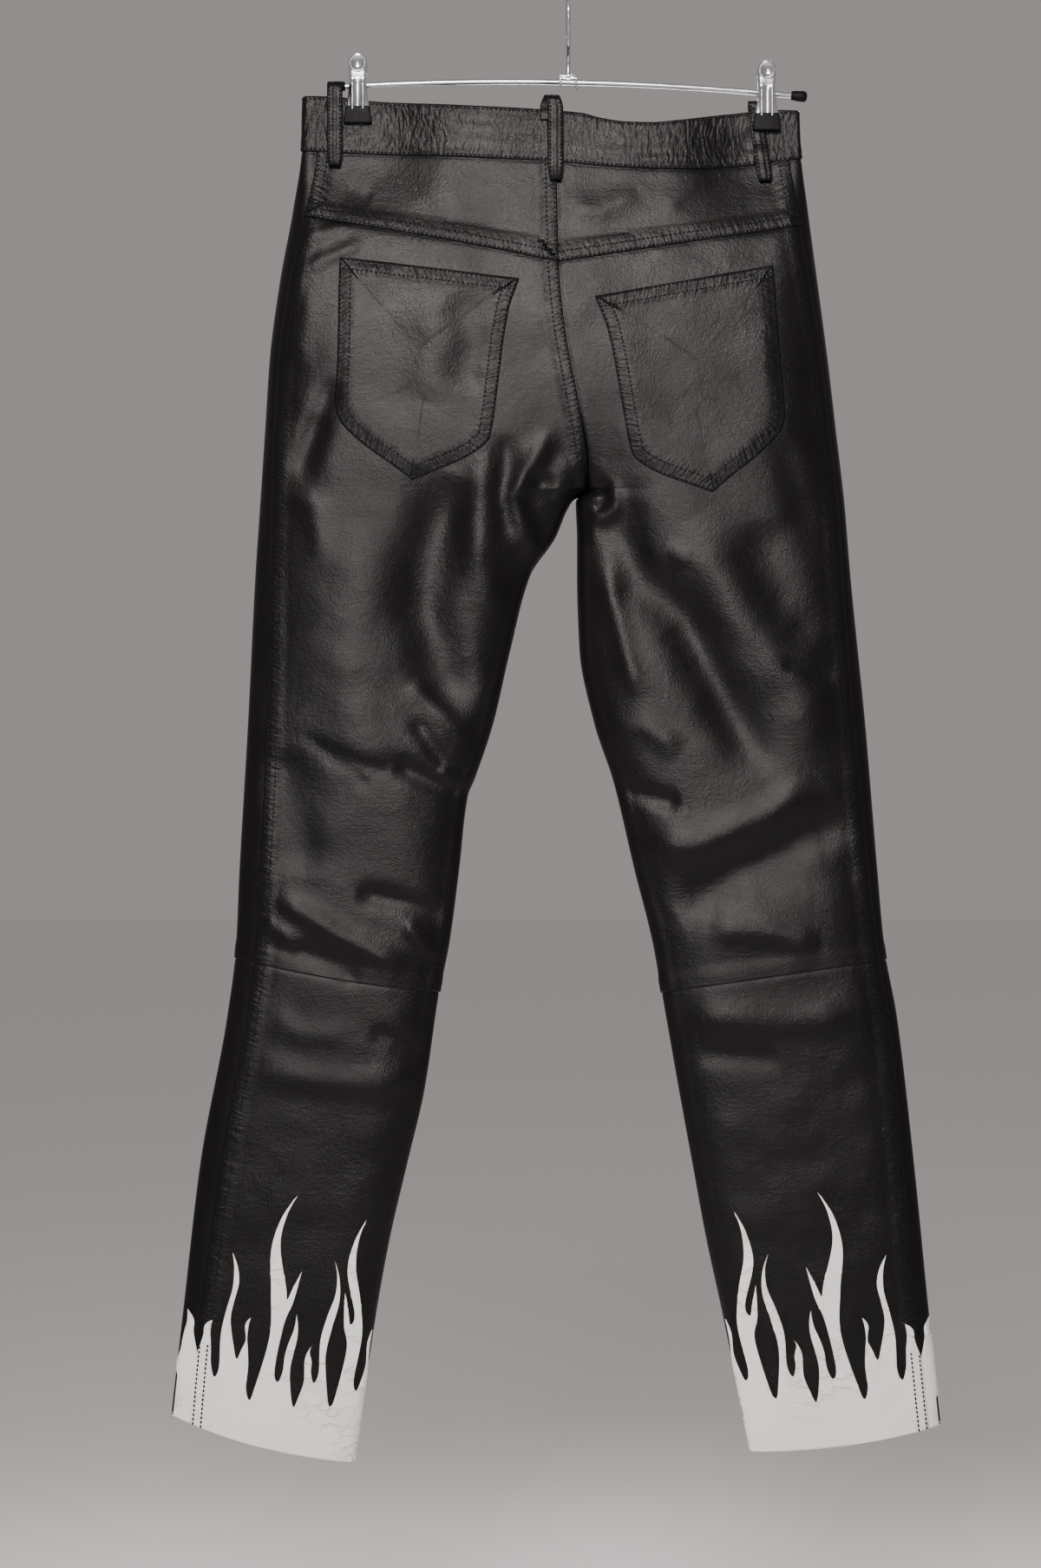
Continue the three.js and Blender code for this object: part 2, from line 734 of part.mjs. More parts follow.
// Button with a short shank, on the tab.
function button() {
  const { x, z, radius, thickness, shank, shankTop, sides } = BUTTON;
  const top = shankTop + thickness;
  const base = Math.max(...[-radius, 0, radius].map((step) => facetDepth("front", x + step, z)));
  const profile = [
    [0, LAID_ON],
    [shank, LAID_ON],
    [shank, shankTop],
    [radius - 0.8, shankTop],
    [radius, shankTop + 0.6],
    [radius, top - 1],
    [radius - 1.2, top],
    [radius * 0.55, top - 0.4],
    [0, top - 0.5],
  ].map(([r, h]) => new THREE.Vector2(r, h));
  const made = new THREE.LatheGeometry(profile, sides);
  made.translate(x, base, z);
  return made;
}

// Solids for cuts and joins
function solidOf(geometry) {
  const bare = geometry.clone();
  bare.deleteAttribute("normal");
  bare.deleteAttribute("uv");
  const merged = mergeVertices(bare, 1e-3);
  return new wasm.Manifold(
    new wasm.Mesh({
      numProp: 3,
      vertProperties: Float32Array.from(merged.attributes.position.array),
      triVerts: Uint32Array.from(merged.index.array),
    }),
  );
}

function geometryOf(solid) {
  const mesh = solid.getMesh();
  const geometry = new THREE.BufferGeometry();
  geometry.setAttribute("position", new THREE.BufferAttribute(mesh.vertProperties, 3));
  geometry.setIndex(new THREE.BufferAttribute(mesh.triVerts, 1));
  return geometry;
}

function barZ(x) {
  const share = x / BAR.halfLength;
  return BAR.middleZ + BAR.tilt * share + BAR.bow * share * share;
}

// A round rod along a list of points, as a closed solid.
function rod(points, radius, steps, sides) {
  const path = new THREE.CatmullRomCurve3(points, false, "centripetal");
  const section = new THREE.Shape(
    Array.from({ length: sides }, (_, i) => {
      const angle = (i / sides) * Math.PI * 2;
      return new THREE.Vector2(radius * Math.cos(angle), radius * Math.sin(angle));
    }),
  );
  return new THREE.ExtrudeGeometry(section, { extrudePath: path, steps, bevelEnabled: false });
}

// Hook wire: up the stem, forwards, then round in a half circle and down behind, with a riveted foot.
function hook() {
  const round = HOOK.inside + HOOK.wire;
  const onArc = (degrees) => {
    const angle = THREE.MathUtils.degToRad(degrees);
    return new THREE.Vector3(0, -round * Math.cos(angle), -HOOK.inside + round * Math.sin(angle));
  };
  const points = [
    new THREE.Vector3(0, 0, HOOK.stemBottom),
    new THREE.Vector3(0, 0, -68),
    new THREE.Vector3(0, 0, HOOK.stemTop),
    new THREE.Vector3(0, -4, -55),
    new THREE.Vector3(0, -14, -46.5),
    ...[-38, -20, 0, 22, 45, 68, 90, 112, 135, 158, 180].map(onArc),
    new THREE.Vector3(0, round + 0.6, HOOK.tailZ),
  ];
  const wire = solidOf(rod(points, HOOK.wire, 52, 8));
  const foot = new THREE.CylinderGeometry(HOOK.head, HOOK.head, HOOK.headLength, 12);
  foot.rotateX(Math.PI / 2);
  foot.translate(0, 0, HOOK.stemBottom + HOOK.headLength / 2);
  return geometryOf(wire.add(solidOf(foot)));
}

function bar() {
  const count = 9;
  const reach = BAR.halfLength - 4;
  const points = Array.from({ length: count }, (_, i) => {
    const x = lerp(-reach, reach, i / (count - 1));
    return new THREE.Vector3(x, 0, barZ(x));
  });
  return rod(points, BAR.radius, BAR.steps, 10);
}

// Rubber cap over a bar end.
function barCap(sign) {
  const { radius, tipRadius, length, bore } = CAP;
  const seat = length - 4;
  const profile = [
    [0, seat + 0.4],
    [bore, seat + 0.4],
    [bore, 0],
    [tipRadius, 0],
    [radius, length * 0.5],
    [radius, length - 1.6],
    [radius - 1.4, length],
    [0, length],
  ].map(([r, h]) => new THREE.Vector2(r, h));
  const made = new THREE.LatheGeometry(profile, 12);
  made.rotateZ(sign > 0 ? -Math.PI / 2 : Math.PI / 2);
  const start = sign * (BAR.halfLength - length + 0.4);
  const end = sign * BAR.halfLength;
  made.rotateY(-Math.atan((barZ(end) - barZ(start)) / (end - start)));
  made.translate(start, 0, barZ(start));
  return made;
}

// Two rings round the bar under a plate that the hook's stem goes through.
function bracket() {
  const { halfSpan, ringWidth, ringInner, ringOuter, plate, plateDepth, hole } = BRACKET;
  const ring = new THREE.Shape();
  ring.absarc(0, 0, ringOuter, 0, Math.PI * 2);
  const inside = new THREE.Path();
  inside.absarc(0, 0, ringInner, 0, Math.PI * 2, true);
  ring.holes.push(inside);
  let solid = null;
  const plateZ = barZ(0) + 3.9;
  for (const sign of [-1, 1]) {
    const made = new THREE.ExtrudeGeometry(ring, { depth: ringWidth, bevelEnabled: false, curveSegments: 12 });
    made.translate(0, 0, -ringWidth / 2);
    made.rotateY(Math.PI / 2);
    made.translate(sign * halfSpan, 0, barZ(sign * halfSpan));
    const next = solidOf(made);
    solid = solid ? solid.add(next) : next;
  }
  const top = new THREE.BoxGeometry(halfSpan * 2 + ringWidth, plateDepth, plate);
  top.translate(0, 0, plateZ + plate / 2);
  const drill = new THREE.CylinderGeometry(hole, hole, 6, 12);
  drill.rotateX(Math.PI / 2);
  drill.translate(0, 0, plateZ);
  return geometryOf(solid.add(solidOf(top)).subtract(solidOf(drill)));
}

// Front view of a clip plate, from its foot up round its head.
function clipOutline() {
  const { top, bottom, headRadius, neckHalf, footHalf } = CLIP;
  const outline = new THREE.Shape();
  outline.moveTo(-footHalf, bottom + 1);
  outline.lineTo(footHalf, bottom + 1);
  outline.lineTo(footHalf * 0.96, bottom + 12);
  outline.quadraticCurveTo(neckHalf, bottom + 22, neckHalf, bottom + 34);
  outline.lineTo(headRadius, top - headRadius - 1);
  outline.absarc(0, top - headRadius, headRadius, 0, Math.PI, false);
  outline.lineTo(-neckHalf, bottom + 34);
  outline.quadraticCurveTo(-neckHalf, bottom + 22, -footHalf * 0.96, bottom + 12);
  outline.closePath();
  return outline;
}

// Distance of a clip plate's inner face from the middle plane, with room for what it grips.
function clipFace(extra) {
  return CLIP_HALF_DEPTH + BAND_PROUD + LAID_ON + CLIP.padThickness + LAID_ON + extra;
}

function clipPlate(side, facing) {
  const { x, extra } = CLIPS[side];
  const face = clipFace(facing < 0 ? extra : 0);
  const { top, bottom, plate, spread } = CLIP;
  const profile = new THREE.Shape();
  profile.moveTo(face, bottom);
  profile.lineTo(face + plate, bottom);
  profile.lineTo(face + plate, 2);
  profile.lineTo(face + plate + spread, top + 1);
  profile.lineTo(face + spread, top + 1);
  profile.lineTo(face, 2);
  profile.closePath();
  const sideways = new THREE.ExtrudeGeometry(profile, { depth: BLANK, bevelEnabled: false });
  sideways.translate(0, 0, -BLANK / 2);
  sideways.rotateX(Math.PI / 2);
  sideways.rotateZ(Math.PI / 2);
  const outline = new THREE.ExtrudeGeometry(clipOutline(), { depth: BLANK, bevelEnabled: false, curveSegments: 8 });
  outline.rotateX(Math.PI / 2);
  outline.translate(0, BLANK * 0.9, 0);
  const made = geometryOf(solidOf(sideways).intersect(solidOf(outline)));
  if (facing < 0) made.rotateZ(Math.PI);
  made.translate(x, 0, barZ(x));
  return made;
}

function clipPad(side, facing) {
  const { x, extra } = CLIPS[side];
  const { bottom, padHalf, padHeight, padThickness } = CLIP;
  const inner = clipFace(facing < 0 ? extra : 0) - LAID_ON - padThickness;
  const outline = new THREE.Shape();
  outline.moveTo(-padHalf, bottom + 1.2);
  outline.lineTo(-padHalf + 1.2, bottom);
  outline.lineTo(padHalf - 1.2, bottom);
  outline.lineTo(padHalf, bottom + 1.2);
  outline.lineTo(padHalf * 0.82, bottom + padHeight);
  outline.lineTo(-padHalf * 0.82, bottom + padHeight);
  outline.closePath();
  const made = new THREE.ExtrudeGeometry(outline, { depth: padThickness, bevelEnabled: false });
  made.rotateX(Math.PI / 2);
  made.translate(0, facing < 0 ? -inner : inner + padThickness, 0);
  made.translate(x, 0, barZ(x));
  return made;
}

// Coil of the clip's spring, round the bar, as a plain sleeve between the plates.
function clipSpring(side) {
  const { x } = CLIPS[side];
  const outer = clipFace(0) - LAID_ON;
  const ring = new THREE.Shape();
  ring.absarc(0, 0, outer, 0, Math.PI * 2);
  const hole = new THREE.Path();
  hole.absarc(0, 0, CLIP.springInner + 0.3, 0, Math.PI * 2, true);
  ring.holes.push(hole);
  const made = new THREE.ExtrudeGeometry(ring, { depth: CLIP.springLength, bevelEnabled: false, curveSegments: 10 });
  made.translate(0, 0, -CLIP.springLength / 2);
  made.rotateY(Math.PI / 2);
  made.translate(x, 0, barZ(x));
  return made;
}

// Finishes
const finish = (color, roughness, metalness = 0) => new THREE.MeshStandardMaterial({ color, roughness, metalness });
const blackLeather = finish(0x161413, 0.42);
const flameLeather = finish(0xdcdad6, 0.5);
const chrome = finish(0xc9ccd0, 0.12, 1);
const rubber = finish(0x111111, 0.7);
const buttonMetal = finish(0x3a3a3c, 0.35, 1);

const trousers = new THREE.Group();
function add(name, geometry, material) {
  const mesh = new THREE.Mesh(geometry, material);
  mesh.name = name;
  trousers.add(mesh);
}

for (const side of ["left", "right"]) {
  const lines = LINES[side];
  const yokeRows = rowsBetween(lines.waist, lines.yoke, YOKE_ROWS);
  const backSeat = seatRows(lines.yoke, lines.crotch, SEAT_STRAIGHT_ROWS);
  const thigh = rowsBetween(lines.crotch, lines.knee, THIGH_ROWS, 1.15);
  const shin = rowsBetween(lines.knee, lines.hem, SHIN_ROWS);
  const frontSeat = seatRows(frontLine(lines.waist), lines.crotch, YOKE_ROWS + SEAT_STRAIGHT_ROWS);
  const sideRows = [...yokeRows, ...backSeat.slice(1)];
  const frontHip = frontSeat.map((row, i) => ({ ...row, outer: sideRows[i].outer, sag: sideRows[i].sag }));
  const allSeams = { first: true, last: true, top: true, bottom: true };
  const toHem = { first: true, last: true, top: true };

  const back = panel(side, [...backSeat, ...thigh.slice(1)], backColumns, "back", allSeams);
  const front = panel(side, [...frontHip, ...thigh.slice(1)], frontColumns, "front", allSeams);
  add(`waistband_${side}`, waistband(side).geometry, blackLeather);
  add(`yoke_${side}`, panel(side, yokeRows, backColumns, "back", allSeams).geometry, blackLeather);
  add(`back_${side}`, back.geometry, blackLeather);
  add(`front_${side}`, front.geometry, blackLeather);
  add(`back_lower_${side}`, panel(side, shin, backColumns, "back", toHem).geometry, flameLeather);
  add(`front_lower_${side}`, panel(side, shin, frontColumns, "front", toHem).geometry, flameLeather);
  add(`pocket_${side}`, pocket(side, back), blackLeather);
  if (side === "left") add("fly", fly(front), blackLeather);
  add(`clip_${side}_plate_back`, clipPlate(side, -1), chrome);
  add(`clip_${side}_plate_front`, clipPlate(side, 1), chrome);
  add(`clip_${side}_pad_back`, clipPad(side, -1), rubber);
  add(`clip_${side}_pad_front`, clipPad(side, 1), rubber);
  add(`clip_${side}_spring`, clipSpring(side), chrome);
  add(`bar_cap_${side}`, barCap(SIGN[side]), rubber);
}
for (const loop of LOOPS) add(loop.name, beltLoop(loop), blackLeather);
add("button", button(), buttonMetal);
add("hanger_hook", hook(), chrome);
add("hanger_bar", bar(), chrome);
add("hanger_bracket", bracket(), chrome);

export default trousers;
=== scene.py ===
import math

import bmesh
import bpy
import numpy as np
from mathutils import Matrix, Vector


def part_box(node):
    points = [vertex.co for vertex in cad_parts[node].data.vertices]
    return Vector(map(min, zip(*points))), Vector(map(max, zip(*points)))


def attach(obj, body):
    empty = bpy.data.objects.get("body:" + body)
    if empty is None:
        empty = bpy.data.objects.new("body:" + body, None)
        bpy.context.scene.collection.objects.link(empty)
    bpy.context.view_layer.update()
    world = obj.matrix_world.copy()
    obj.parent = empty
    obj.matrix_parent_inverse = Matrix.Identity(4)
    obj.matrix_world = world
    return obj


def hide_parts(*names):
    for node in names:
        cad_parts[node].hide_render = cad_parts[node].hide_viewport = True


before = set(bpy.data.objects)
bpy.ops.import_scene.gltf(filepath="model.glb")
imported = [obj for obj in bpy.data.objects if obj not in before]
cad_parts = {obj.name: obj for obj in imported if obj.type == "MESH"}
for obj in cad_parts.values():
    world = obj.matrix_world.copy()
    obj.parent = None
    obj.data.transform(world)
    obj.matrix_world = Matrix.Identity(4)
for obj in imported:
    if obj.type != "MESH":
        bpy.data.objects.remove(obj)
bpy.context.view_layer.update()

# Leather trousers hung by the waistband from a metal clip hanger. Lengths here are millimetres in the
# part's own frame, and a mesh's points are turned to metres as it is made.
# "around" runs from 0 at the centre back or back inseam, past 1 at the outer side, to 2 at the centre
# front or front inseam.
MM = 0.001
SIDES = ("left", "right")
SIGN = {"left": -1.0, "right": 1.0}
OTHER = {"left": "right", "right": "left"}
FACING = {"back": -1.0, "front": 1.0}

# Thicknesses of the leather as drawn, then the band's own one and how far one layer stands off another.
LEATHER = 1.1
BAND_LEATHER = 2.2
FLAME_LEATHER = 0.45
BAND_THICKNESS = 2.4
BAND_PROUD = 0.4
LAID_ON = 0.3
CROTCH_Z = -410.0
SEAT_TURN_Z = -330.0
CLIP_HALF_DEPTH = 2.8
PINCH_FLAT_HALF, PINCH_FADE_HALF = 13.5, 84.0
PINCH_FLAT_Z, PINCH_FADE_Z = -121.0, -215.0
CROWN = 0.16
FRONT_RISE_DROP = 7.0
TAB_LENGTH = 34.0
STITCH_PITCH = 3.6

# Outer edge of each half seen from behind, and how far the side seam lies inside that edge.
OUTER = np.array([
    (-70, -217, 188, 13, 10), (-130, -218, 190, 13, 10), (-180, -225, 196, 12, 9),
    (-240, -236, 204, 9, 7), (-300, -244, 212, 8, 6), (-360, -248, 219, 8, 6),
    (-420, -252, 226, 10, 6), (-480, -256, 231, 12, 7), (-600, -262, 243, 16, 9),
    (-720, -269, 253, 18, 7), (-785, -272, 259, 17, 6), (-840, -279, 269, 17, 7),
    (-960, -301, 283, 18, 9), (-1080, -315, 295, 16, 11), (-1210, -330, 309, 19, 12),
], float)
# Height, centre back seam and centre front seam.
CENTRE = np.array([
    (-70, -11, -2), (-226, -8, -2), (-280, -3, 0), (-335, 7, 4), (-378, 14, 10), (-410, 16, 16),
], float)
# Height, inner edge of the left leg and of the right leg.
INNER = np.array([
    (-410, 16, 16), (-420, 2, 7), (-450, -12, 8), (-480, -32, 8), (-540, -48, 10), (-600, -62, 22),
    (-645, -77, 37), (-660, -83, 41), (-720, -90, 55), (-780, -98, 70), (-820, -106, 77),
    (-900, -118, 91), (-960, -132, 102), (-1020, -146, 113), (-1080, -157, 126), (-1210, -176, 152),
], float)
# Height, depth of the back and of the front, and width of the rounded edge.
DEPTH = np.array([
    (-70, 12, 7, 10), (-130, 13, 8, 12), (-180, 18, 11, 24), (-240, 25, 14, 42), (-300, 29, 16, 55),
    (-360, 30, 18, 62), (-420, 28, 20, 62), (-480, 25, 20, 60), (-600, 22, 19, 56), (-720, 19, 17, 52),
    (-820, 17, 16, 48), (-960, 15, 14, 42), (-1080, 14, 13, 36), (-1210, 13, 12, 30),
], float)
# Place across and height of the waistband's top edge.
BAND_TOP = np.array([
    (-230, -88), (-197, -88), (-160, -92), (-97, -96), (-39, -99), (-11, -101), (11, -103), (27, -107),
    (48, -110), (70, -110.5), (92, -108.5), (132, -103), (173, -99), (200, -100),
], float)
# Seam lines across each half: height at the inner edge, height at the outer edge, and sag.
LINES = {
    "left": {"waist": (-143, -133, 0), "yoke": (-226, -186, 2), "crotch": (CROTCH_Z, -415, 0),
             "knee": (-820, -792, -3), "hem": (-1204, -1165, -6)},
    "right": {"waist": (-143, -139, -8), "yoke": (-226, -194, 0), "crotch": (CROTCH_Z, -415, 0),
              "knee": (-820, -793, 0), "hem": (-1195, -1173, -5)},
}

# Main folds: width, height and the places each runs through. Ridges are over 0 and troughs under it.
BACK_FOLDS = (
    (8, 3.6, ((-12, -361), (-44, -417), (-26, -462), (-36, -483))),
    (10, -3.0, ((-48, -364), (-53, -406), (-50, -457))),
    (12, -5.0, ((-18, -395), (-29, -424), (-15, -450))),
    (11, 3.0, ((4, -385), (-6, -408), (-11, -420))),
    (15, 4.0, ((-64, -378), (-77, -436), (-70, -474), (-48, -524))),
    (25, -8.5, ((-93, -398), (-110, -457), (-116, -506), (-103, -555), (-78, -596))),
    (8, 2.6, ((-131, -567), (-97, -599), (-76, -625))),
    (7, -2.6, ((-127, -595), (-102, -633), (-84, -646))),
    (8, -4.2, ((-142, -633), (-110, -649), (-82, -658))),
    (6, 2.6, ((-106, -637), (-86, -651), (-73, -643))),
    (6, -1.4, ((-220, -609), (-195, -623), (-167, -634), (-140, -642))),
    (5, -1.0, ((-201, -626), (-175, -640), (-161, -653))),
    (12, -2.2, ((-201, -349), (-215, -392), (-225, -420))),
    (10, 1.7, ((-231, -398), (-208, -426), (-200, -466))),
    (20, -4.0, ((-231, -619), (-220, -683), (-215, -726))),
    (30, 3.5, ((-167, -435), (-181, -548), (-160, -648))),
    (9, 3.4, ((-239, -741), (-188, -772), (-131, -800))),
    (7, 2.4, ((-248, -760), (-217, -784))),
    (9, -4.0, ((-174, -738), (-131, -747), (-97, -760))),
    (7, 3.0, ((-134, -763), (-104, -791))),
    (9, -2.6, ((-231, -779), (-167, -811))),
    (13, 2.6, ((-252, -886), (-181, -893), (-110, -889))),
    (8, -2.0, ((-163, -851), (-138, -861), (-106, -872))),
    (10, 1.4, ((-241, -843), (-217, -853), (-181, -855))),
    (12, 3.0, ((-224, -219), (-217, -264), (-224, -314))),
    (10, -3.4, ((-191, -320), (-220, -400))),
    (7, 4.0, ((35, -400), (36, -426), (19, -437), (16, -457))),
    (6, -4.0, ((25, -406), (31, -419), (21, -429))),
    (20, -7.5, ((40, -399), (43, -446), (58, -486), (92, -514), (111, -552), (133, -592), (163, -644))),
    (8, 1.8, ((62, -467), (82, -460), (100, -471))),
    (24, 4.2, ((96, -435), (137, -506), (161, -535), (191, -581), (198, -623))),
    (20, -2.6, ((154, -435), (177, -506), (202, -537))),
    (9, 3.0, ((28, -471), (43, -535), (57, -581))),
    (10, 2.0, ((22, -611), (62, -604), (92, -623))),
    (8, -4.2, ((36, -653), (64, -660), (92, -667))),
    (14, 3.8, ((53, -701), (106, -699), (160, -677), (201, -646))),
    (20, -6.0, ((85, -754), (138, -721), (195, -694), (234, -679))),
    (15, -1.8, ((146, -734), (195, -728), (245, -719))),
    (12, 3.2, ((114, -767), (160, -770), (206, -780))),
    (6, -2.0, ((173, -551), (218, -564))),
    (14, 2.8, ((92, -838), (160, -843), (234, -838))),
    (10, -2.4, ((103, -868), (174, -876))),
    (15, -2.0, ((171, -367), (192, -435), (209, -470))),
    (9, 1.3, ((1, -180), (27, -184), (57, -168))),
    (9, 1.2, ((76, -182), (116, -152))),
    (9, -2.2, ((-182, -162), (-160, -172))),
    (6, 1.6, ((-217, -206), (-177, -195))),
    (6, 1.6, ((-219, -233), (-167, -210))),
    (18, -2.2, ((-82, -250), (-77, -293), (-83, -335))),
    (20, 2.0, ((-113, -250), (-107, -293), (-113, -342))),
)
FRONT_FOLDS = (
    (18, 2.2, ((-48, -404), (-84, -382), (-128, -362))), (14, 1.8, ((52, -398), (88, -371), (124, -352))),
    (15, -2.0, ((-42, -436), (-88, -428), (-136, -404))), (17, -1.6, ((38, -450), (98, -462), (158, -448))),
    (22, 1.8, ((-232, -585), (-176, -600), (-112, -572))), (26, 2.0, ((64, -618), (136, -590), (204, -578))),
    (15, -2.4, ((-62, -446), (-90, -512), (-98, -590))), (12, -2.2, ((36, -452), (62, -520), (112, -596))),
    (18, -2.2, ((-246, -690), (-176, -716), (-108, -708))),
    (15, -1.8, ((82, -734), (158, -724), (226, -690))),
    (14, 2.2, ((-238, -748), (-186, -768), (-124, -750))), (17, 1.8, ((92, -772), (166, -768), (236, -736))),
    (9, -1.6, ((-196, -782), (-142, -790))), (9, -1.4, ((104, -796), (150, -800))),
    (13, 1.6, ((-262, -880), (-204, -898), (-140, -876))), (16, 1.4, ((100, -868), (172, -886), (248, -880))),
)
FOLDS = {"back": BACK_FOLDS, "front": FRONT_FOLDS}
CLIP_X = {"left": -172.0, "right": 162.0}


def through(rows, key, value):
    """A smooth curve through two of a table's columns that never overshoots them."""
    order = np.argsort(rows[:, key])
    xs, ys = rows[order, key], rows[order, value]
    slopes = np.diff(ys) / np.diff(xs)
    tangents = np.zeros(len(xs))
    tangents[0], tangents[-1] = slopes[0], slopes[-1]
    before, after = slopes[:-1], slopes[1:]
    same = before * after > 0
    tangents[1:-1][same] = (2 * before * after)[same] / (before + after)[same]

    def curve(x):
        x = np.clip(np.asarray(x, float), xs[0], xs[-1])
        i = np.clip(np.searchsorted(xs, x, side="right") - 1, 0, len(xs) - 2)
        span = xs[i + 1] - xs[i]
        u = (x - xs[i]) / span
        u2, u3 = u * u, u * u * u
        return (ys[i] * (2 * u3 - 3 * u2 + 1) + ys[i + 1] * (3 * u2 - 2 * u3)
                + tangents[i] * span * (u3 - 2 * u2 + u) + tangents[i + 1] * span * (u3 - u2))
    return curve


outer_x = {"left": through(OUTER, 0, 1), "right": through(OUTER, 0, 2)}
seam_inset = {"left": through(OUTER, 0, 3), "right": through(OUTER, 0, 4)}
inner_x = {"left": through(INNER, 0, 1), "right": through(INNER, 0, 2)}
centre_x = {"back": through(CENTRE, 0, 1), "front": through(CENTRE, 0, 2)}
depth_at = {"back": through(DEPTH, 0, 1), "front": through(DEPTH, 0, 2)}
edge_width = through(DEPTH, 0, 3)
band_top_z = through(BAND_TOP, 0, 1)


def smoothstep(low, high, value):
    t = np.clip((np.asarray(value, float) - low) / (high - low), 0, 1)
    return t * t * (3 - 2 * t)


def share_out(around):
    return (1 - np.cos(math.pi * around)) / 2


def around_from_share(share):
    return np.arccos(1 - 2 * np.clip(share, 0, 1)) / math.pi


def leg_closure(z):
    down = np.clip((SEAT_TURN_Z - z) / (SEAT_TURN_Z - CROTCH_Z), 0, 1)
    return 1 - np.sqrt(1 - down * down)


def inner_edge_x(side, layer, z):
    return np.where(z > CROTCH_Z, centre_x[layer](z), inner_x[side](z))


def rounded_edge(distance, width):
    t = np.clip(distance / width, 0, 1)
    return np.sqrt(1 - (1 - t) ** 2)


def rounded_off(far, drop, width):
    """Fall of a face at its cut edge, as a rounded corner."""
    return drop * np.clip(1 - far / width, 0, 1) ** 2


def beside_line(x, z, start, end):
    """Share along a line from start to end, and distance from it."""
    dx, dz = end[0] - start[0], end[1] - start[1]
    along = np.clip(((x - start[0]) * dx + (z - start[1]) * dz) / (dx * dx + dz * dz), 0, 1)
    return along, np.hypot(x - start[0] - along * dx, z - start[1] - along * dz)


def fold_height(layer, x, z):
    height = np.zeros_like(x)
    for width, rise, path in FOLDS[layer]:
        nearest, run, passed = np.full(np.shape(x), 1e9), np.zeros(np.shape(x)), 0.0
        for start, end in zip(path, path[1:]):
            along, away = beside_line(x, z, start, end)
            length = math.dist(start, end)
            run = np.where(away < nearest, passed + along * length, run)
            nearest = np.minimum(nearest, away)
            passed += length
        ends = smoothstep(-0.06, 0.2, run / passed) * smoothstep(-0.06, 0.2, 1 - run / passed)
        height += rise * ends * np.exp(-(nearest / width) ** 2)
    return height


def ripple(x, z):
    """Uneven soft undulation of the hide, a few tenths of a millimetre high."""
    waves = ((0.061, 0.023, 0.3, 0.30), (-0.043, 0.049, 1.7, 0.32), (0.018, -0.083, 4.1, 0.34),
             (0.112, 0.041, 2.2, 0.16), (-0.071, 0.127, 0.9, 0.15), (0.021, 0.163, 5.3, 0.12),
             (0.183, -0.062, 3.7, 0.08), (-0.139, -0.171, 1.1, 0.07))
    bend = 9 * np.sin(0.021 * x + 1.3) + 11 * np.sin(0.017 * z + 0.4)
    total = np.zeros_like(x)
    for across, down, phase, size in waves:
        total += 0.6 * size * np.sin(across * (x + bend) + down * (z - bend) + phase)
    return total


def clip_pinch(x, z):
    away = np.minimum(abs(x - CLIP_X["left"]), abs(x - CLIP_X["right"]))
    across = 1 - smoothstep(PINCH_FLAT_HALF, PINCH_FADE_HALF, away)
    return across * smoothstep(PINCH_FADE_Z, PINCH_FLAT_Z, z)


def surface(side, around, z):
    """Points of the garment's outer face, before its seams and hems are dressed."""
    around, z = np.broadcast_arrays(np.asarray(around, float), np.asarray(z, float))
    share = share_out(around)
    closure = leg_closure(z)
    outer = outer_x[side](z)
    width_edge = edge_width(z)
    points = np.zeros(around.shape + (3,))
    for layer, here in (("back", around <= 1), ("front", around > 1)):
        inner = inner_edge_x(side, layer, z)
        x = inner + (outer - inner) * share
        width = abs(outer - inner)
        outer_edge = rounded_edge((1 - share) * width, width_edge)
        near_seam = 1 - smoothstep(0.0, 0.12, share)
        closing = closure * near_seam + smoothstep(-315, -450, z) * (1 - near_seam)
        inner_edge = 1 + (rounded_edge(share * width, width_edge) - 1) * closing
        tube = smoothstep(-300, -480, z)
        crown = 1 - CROWN * (share ** 2 * (1 - tube) + (2 * share - 1) ** 2 * tube)
        rounding = outer_edge * inner_edge
        relief = fold_height(layer, x, z) + ripple(x, z) * smoothstep(-125, -170, z)
        full = (depth_at[layer](z) * crown + relief * np.sqrt(rounding)) * rounding
        pinch = clip_pinch(x, z)
        depth = full + (CLIP_HALF_DEPTH * np.minimum(rounding * 2, 1) - full) * pinch
        points[here] = np.stack([x, FACING[layer] * depth, z], -1)[here]
    return points


def surface_past(side, around, z):
    """The same, past the centre seam or the inseam."""
    around, z = np.broadcast_arrays(np.asarray(around, float), np.asarray(z, float))
    before, after = around < 0, around > 2
    past = np.where(before, -around, around - 2)
    crossing_over = (before | after) & (z > CROTCH_Z)
    own = np.where(before, 2 - past, np.where(after, past, around))
    points = surface(side, np.where(crossing_over, 1.0, own), z)
    if crossing_over.any():
        neighbour = surface(OTHER[side], np.where(before, past, 2 - past), z)
        points[crossing_over] = neighbour[crossing_over]
    return points


def outward(side, around, z):
    around, z = np.broadcast_arrays(np.asarray(around, float), np.asarray(z, float))
    across = surface_past(side, around + 0.008, z) - surface_past(side, around - 0.008, z)
    up = surface_past(side, around, z + 1.2) - surface_past(side, around, z - 1.2)
    normal = np.cross(across, up) * SIGN[side]
    return normal / np.maximum(np.linalg.norm(normal, axis=-1, keepdims=True), 1e-9)


def side_seam_around(side, z):
    inner = inner_edge_x(side, "back", z)
    width = abs(outer_x[side](z) - inner)
    return around_from_share(1 - seam_inset[side](z) / width)


